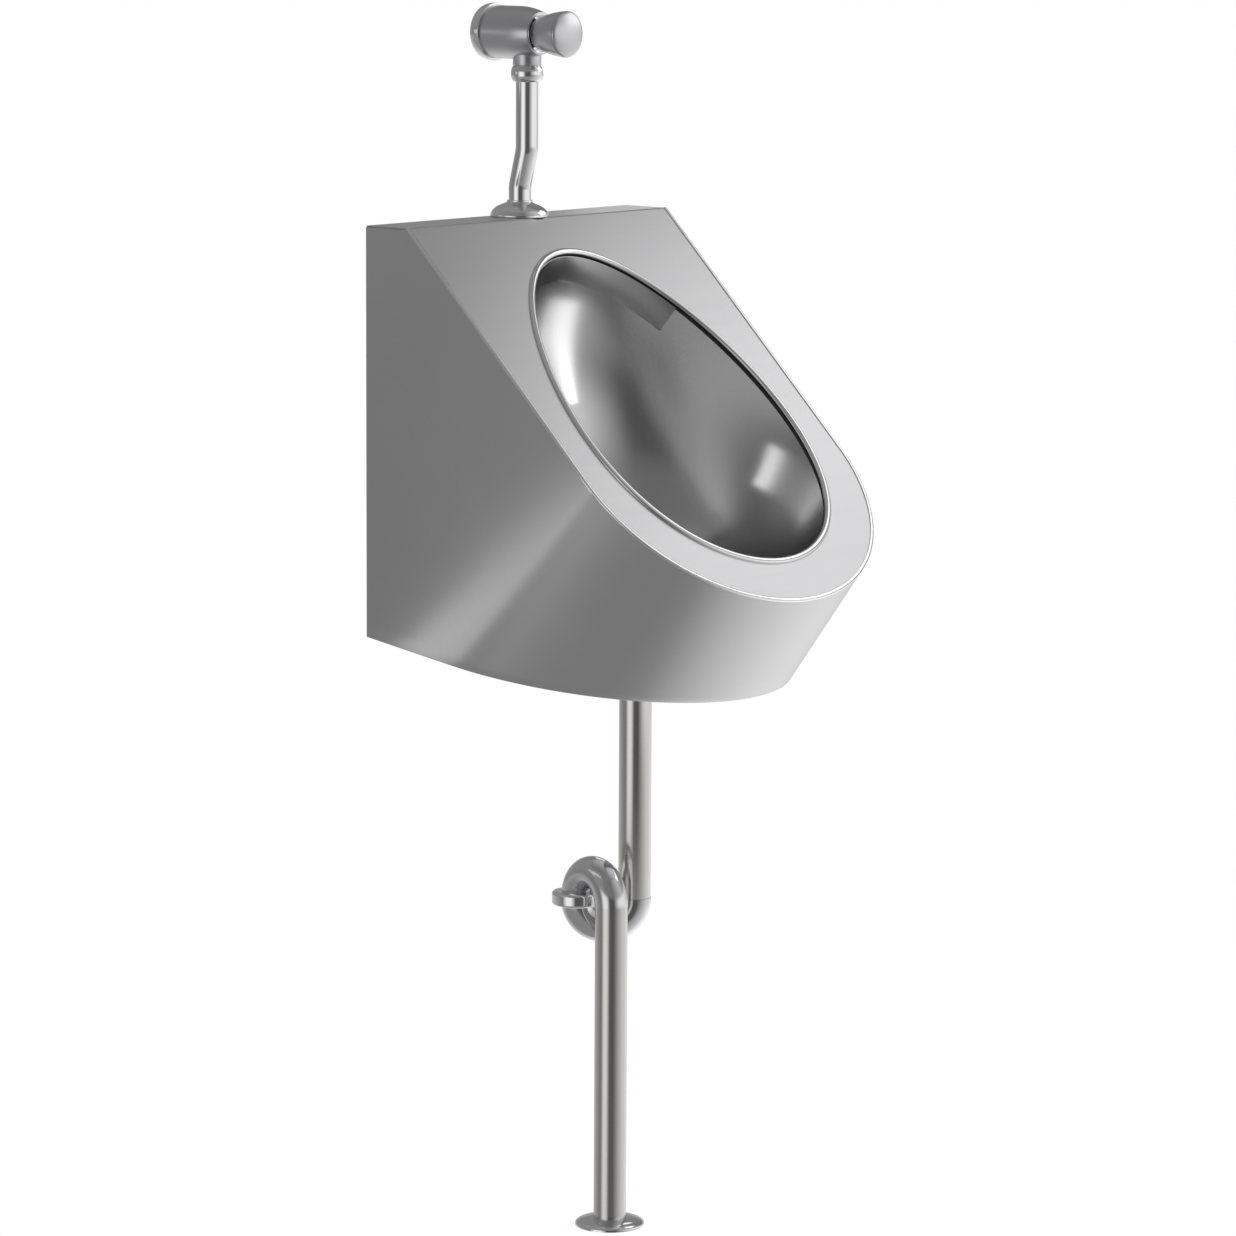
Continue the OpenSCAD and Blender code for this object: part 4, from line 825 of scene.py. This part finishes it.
lower = half_bend(DRAIN, RISER_TURN, LOWER_TOP, 16.5 * MM, 13.2 * MM, True)
flange = rounded(np.array([[13.2, 0], [21, 0], [21, -2.5], [13.2, -2.5], [13.2, 0]]) * MM, 0.3 * MM)
tail_spigot = np.array([[13.2, -1], [14.75, -1], [14.75, 12], [13.2, 12]]) * MM
lower_piece = keep_edges(solid("lower_trap_bend", [
    (lower, True, True, False),
    (turned(tail_spigot, (DRAIN[0], DRAIN[1], LOWER_TOP)), True, True, False),
    (turned(flange[:-1], (RISER[0], RISER[1], LOWER_TOP)), True, True, False)]), 40)
finish(lower_piece, SOFT_CHROME, "urinal", "bright_chrome", "lower_bend")

upper = half_bend(RISER, SPILL_TURN, UPPER_LOW, 16.3 * MM, 12.9 * MM, False)
collar = rounded(np.array([[13, 0], [22.5, 0], [22.5, 5.5], [13, 5.5], [13, 0]]) * MM, 0.5 * MM)
spigot = rounded(np.array([[12.9, 0], [14.4, 0], [14.4, -12], [12.9, -12], [12.9, 0]]) * MM, 0.2 * MM)
upper_piece = keep_edges(solid("upper_trap_bend", [
    (upper, True, True, False),
    (turned(collar[:-1], (RISER[0], RISER[1], UPPER_LOW)), True, True, False),
    (turned(spigot[:-1], (STAND[0], STAND[1], UPPER_LOW)), True, True, False)]), 40)
finish(upper_piece, SOFT_CHROME, "urinal", "bright_chrome", "upper_bend")

union_outline = rounded(np.array([
    [19.1, -6.5], [24, -6.5], [25.5, -5], [25.5, 5], [24, 6.5], [22.55, 6.5], [22.55, -3.6],
    [19.1, -3.6], [19.1, -6.5]]) * MM, np.array([0, 2, 2, 2, 2, 0.3, 0, 0, 0]) * MM, 4)
union = keep_edges(solid("union_ring", [
    (turned(union_outline[:-1], (RISER[0], RISER[1], JOINT_Z)), True, True, False)]), 35)
finish(union, CHROME, "union_nut", "bright_chrome", "union_nut")

foot_a = np.linspace(0, math.pi / 2, 14)
foot_curve = np.stack([17.05 + 16.95 * np.cos(foot_a), 1.5 + 5.5 * np.sin(foot_a)], axis=-1)
foot_outline = np.concatenate([[[16.05, 0], [34, 0]], foot_curve, [[16.05, 7]]]) * MM
foot = keep_edges(solid("floor_rosette", [
    (turned(foot_outline, (STAND[0], STAND[1], FLOOR_Z)), True, True, False)]), 40)
finish(foot, CHROME, "floor_flange", "bright_chrome", "floor_flange")

# %% [markdown]
# ## The solids that stay
#
# The pieces behind the body, inside the valve and under the bowl keep their CAD solids. Each gets
# the finish of what it is made of.

# %% Finishes for the CAD solids
KEPT = {
    SATIN_FLAT: ["back_plate", "bottom_pan", "feed_elbow"],
    POLISHED: ["waste_outlet", "strainer", "strainer_screw"],
    MILL_STEEL: ["wall_hanger", "button_spring"],
    RUBBER: ["wall_buffers", "spud_gasket", "coupling_washer", "seal_disc", "spindle_seal",
             "waste_gasket", "tail_washer", "union_washer"],
    BRASS: ["inlet_nipple", "valve_seat", "spindle", "spud_locknut", "waste_locknut"],
    CHROME: ["inlet_spud", "tail_nut", "bonnet"],
}
for material, names in KEPT.items():
    for name in names:
        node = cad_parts[name]
        node.data.materials.clear()
        node.data.materials.append(material)
print("finished", sum(len(names) for names in KEPT.values()), "CAD solids")

# %% [markdown]
# ## Floor, light and camera
#
# A shiny object is lit by what it mirrors, so the room is designed like a set: pale walls to the
# right, one tall window to the left, and a dark side behind the camera. The floor glows a little, so
# that it melts into the white backdrop. It stays out of the mirror images, so the room alone draws
# the stripes on the pipes.

# %% The floor
FAR, FLOOR_GLOW = 60.0, 0.72
floor_mesh = bpy.data.meshes.new("floor")
floor_mesh.from_pydata([(-FAR, -FAR, FLOOR_Z), (FAR, -FAR, FLOOR_Z), (FAR, FAR, FLOOR_Z),
                        (-FAR, FAR, FLOOR_Z)], [], [(0, 1, 2, 3)])
floor = bpy.data.objects.new("floor", floor_mesh)
bpy.context.scene.collection.objects.link(floor)
floor.visible_glossy = False
pale = bpy.data.materials.new("pale_floor")
pale.use_nodes = True
paint = pale.node_tree.nodes["Principled BSDF"].inputs
paint["Base Color"].default_value = (0.9, 0.9, 0.9, 1)
paint["Roughness"].default_value = 0.9
paint["Emission Color"].default_value = (1, 1, 1, 1)
paint["Emission Strength"].default_value = FLOOR_GLOW
floor_mesh.materials.append(pale)
print("floor out to", FAR, "m")

# %% [markdown]
# The room is a world shader with four bands of walls, from low to high. In each, a ramp gives the
# brightness by bearing, in degrees from +X towards +Y. The bands are blended by how steeply a ray
# rises, with a plain ceiling over them. The few walls in each band are listed one by one. The camera
# itself sees a white backdrop.

# %% The room
LOW_WALLS = [(0, 1.2), (60, 0.8), (120, 0.3), (240, 0.3), (300, 0.7), (360, 1.2)]
TALL_WINDOW = [(150, 0.2), (170, 1.0), (190, 1.0), (210, 0.1)]
LEVEL_WALLS = [(0, 1.0), (90, 0.5), *TALL_WINDOW, (240, 0.1), (300, 0.7), (360, 1.0)]
UPPER_WALLS = [(0, 0.6), (90, 0.3), *TALL_WINDOW, (240, 0.1), (280, 1.0), (320, 1.0), (360, 0.6)]
HIGH_WALLS = [(0, 0.2), (90, 0.3), (240, 0.2), (300, 0.6), (360, 0.2)]
CEILING = 0.3

world = bpy.data.worlds.new("studio")
bpy.context.scene.world = world
world.use_nodes = True
tree = world.node_tree
sky = tree.nodes["Background"]
aim = add(tree, "ShaderNodeTexCoord")
split = add(tree, "ShaderNodeSeparateXYZ", {0: aim.outputs["Generated"]})
bearing = math_node(tree, "ARCTAN2", split.outputs["Y"], split.outputs["X"])
turn_part = math_node(tree, "FRACT", math_node(tree, "DIVIDE", bearing, 2 * math.pi))


def band(levels):
    """A ramp by bearing: brightness values at degrees, joined by straight slopes."""
    ramp = add(tree, "ShaderNodeValToRGB", {0: turn_part})
    stops = ramp.color_ramp.elements
    while len(stops) < len(levels):
        stops.new(0.5)
    for stop, (degrees, level) in zip(stops, levels):
        stop.position, stop.color = degrees / 360, (level, level, level, 1)
    return ramp.outputs[0]


def blend_by_rise(below, above, start, stop):
    """below under the height start, above over the height stop, and a smooth mix between."""
    share = add(tree, "ShaderNodeMapRange", {0: split.outputs["Z"]}, interpolation_type="SMOOTHSTEP")
    share.inputs["From Min"].default_value, share.inputs["From Max"].default_value = start, stop
    mix = add(tree, "ShaderNodeMix", {"Factor": share.outputs[0]}, data_type="RGBA")
    for place, colour in (("A", below), ("B", above)):
        if isinstance(colour, float):
            mix.inputs[place].default_value = (colour, colour, colour, 1)
        else:
            tree.links.new(colour, mix.inputs[place])
    return mix.outputs["Result"]


room = blend_by_rise(band(LOW_WALLS), band(LEVEL_WALLS), -0.40, -0.25)
room = blend_by_rise(room, band(UPPER_WALLS), -0.20, -0.05)
room = blend_by_rise(room, band(HIGH_WALLS), 0.10, 0.30)
room = blend_by_rise(room, CEILING, 0.80, 0.95)
seen = add(tree, "ShaderNodeLightPath")
backdrop = add(tree, "ShaderNodeMix", {"Factor": seen.outputs["Is Camera Ray"], "A": room},
               data_type="RGBA")
backdrop.inputs["B"].default_value = (0.98, 0.98, 0.98, 1)
tree.links.new(backdrop.outputs["Result"], sky.inputs["Color"])
bpy.context.scene.view_settings.view_transform = "Standard"
print("room walls:", [len(w) for w in (LOW_WALLS, LEVEL_WALLS, UPPER_WALLS, HIGH_WALLS)])


# %% [markdown]
# Area lights add what the walls are too broad for. The key light brightens the right of the front,
# and the deck, the valve and the left side have one each. The tilted strip draws the slanting sheen
# on the left side. A bowl mirrors itself many times. Two small lamps near its wall stand in for the
# bright streak and the bright patch that come of it.


# %% Soft lights
def soft_light(name, at, towards, size, radiance, tilt=0.0):
    """A rectangle of light facing a point, turned by tilt; power = radiance * pi * area."""
    lamp = bpy.data.lights.new(name, "AREA")
    lamp.shape, lamp.size, lamp.size_y = "RECTANGLE", size[0], size[1]
    lamp.energy = radiance * math.pi * size[0] * size[1]
    holder = bpy.data.objects.new(name, lamp)
    bpy.context.scene.collection.objects.link(holder)
    away = np.asarray(at, float) - np.asarray(towards, float)
    away /= np.linalg.norm(away)
    level = np.cross([0, 0, 1], away)
    level /= np.linalg.norm(level)
    upright = np.cross(away, level)
    m = np.eye(4)
    m[:3, 0] = math.cos(tilt) * level + math.sin(tilt) * upright
    m[:3, 1] = math.cos(tilt) * upright - math.sin(tilt) * level
    m[:3, 2], m[:3, 3] = away, at
    holder.matrix_world = Matrix(m.tolist())
    holder.visible_camera = False


soft_light("key_right", (0.99, -0.60, 0.62), (0, -0.38, -0.23), (0.9, 0.6), 1.1)
soft_light("deck_right", (1.35, 0.75, 0.34), (0.1, -0.04, 0.08), (0.45, 0.4), 0.9)
soft_light("left_card", (-1.1, 0.24, -0.05), (0, 0.24, -0.10), (0.85, 0.9), 0.05)
soft_light("valve_card", (-1.1, 0.95, 0.28), (-0.03, -0.03, 0.26), (0.5, 0.3), 0.38)
soft_light("left_strip", (-0.346, -0.084, -0.268), (-0.195, -0.21, -0.238), (0.05, 0.30), 0.5,
           math.radians(-47))
soft_light("streak_card", (0.046, -0.107, -0.066), (0.028, -0.073, -0.060), (0.085, 0.006), 1.8,
           math.radians(-79))
soft_light("patch_card", (0.1175, -0.216, -0.163), (0.147, -0.243, -0.168), (0.036, 0.009), 1.2,
           math.radians(-106))
print("lights placed")

# %% [markdown]
# The photograph was taken from the left, a little above, with a long lens. The camera stands where
# the outlines of the sides, the nose, the mouth and the pipes fit the picture best. A small roll
# about the line of sight makes the body's left edge upright, as it is in the photograph.

# %% The camera
FRAME, FOCAL = 1236, 5234.0  # the picture's width and the focal length, in pixels
AIM_RIGHT, AIM_UP = -118.77, 2.35  # where the body's bottom edge lies from the line of sight, in mm
AZIMUTH, PITCH, ROLL = math.radians(50), math.radians(8.575), 0.0054
SENSOR = 36
level_right = np.array([math.cos(AZIMUTH), -math.sin(AZIMUTH), 0])
view = np.array([math.sin(AZIMUTH) * math.cos(PITCH), math.cos(AZIMUTH) * math.cos(PITCH),
                 -math.sin(PITCH)])
level_up = np.cross(level_right, view)
anchor = np.array([0, -WALL_GAP, BOTTOM])
spot = anchor - (AIM_RIGHT * level_right + AIM_UP * level_up + FOCAL * view) * MM
right = math.cos(ROLL) * level_right + math.sin(ROLL) * level_up
up = math.cos(ROLL) * level_up - math.sin(ROLL) * level_right
camera_data = bpy.data.cameras.new("camera")
camera_data.sensor_width = SENSOR
camera_data.lens = FOCAL / FRAME * camera_data.sensor_width
camera_data.clip_end = FAR
camera = bpy.data.objects.new("camera", camera_data)
bpy.context.scene.collection.objects.link(camera)
pose = np.eye(4)
pose[:3, 0], pose[:3, 1], pose[:3, 2], pose[:3, 3] = right, up, -view, spot
camera.matrix_world = Matrix(pose.tolist())
bpy.context.scene.camera = camera
print("camera at", spot.round(3), "lens", round(camera_data.lens, 2), "mm")
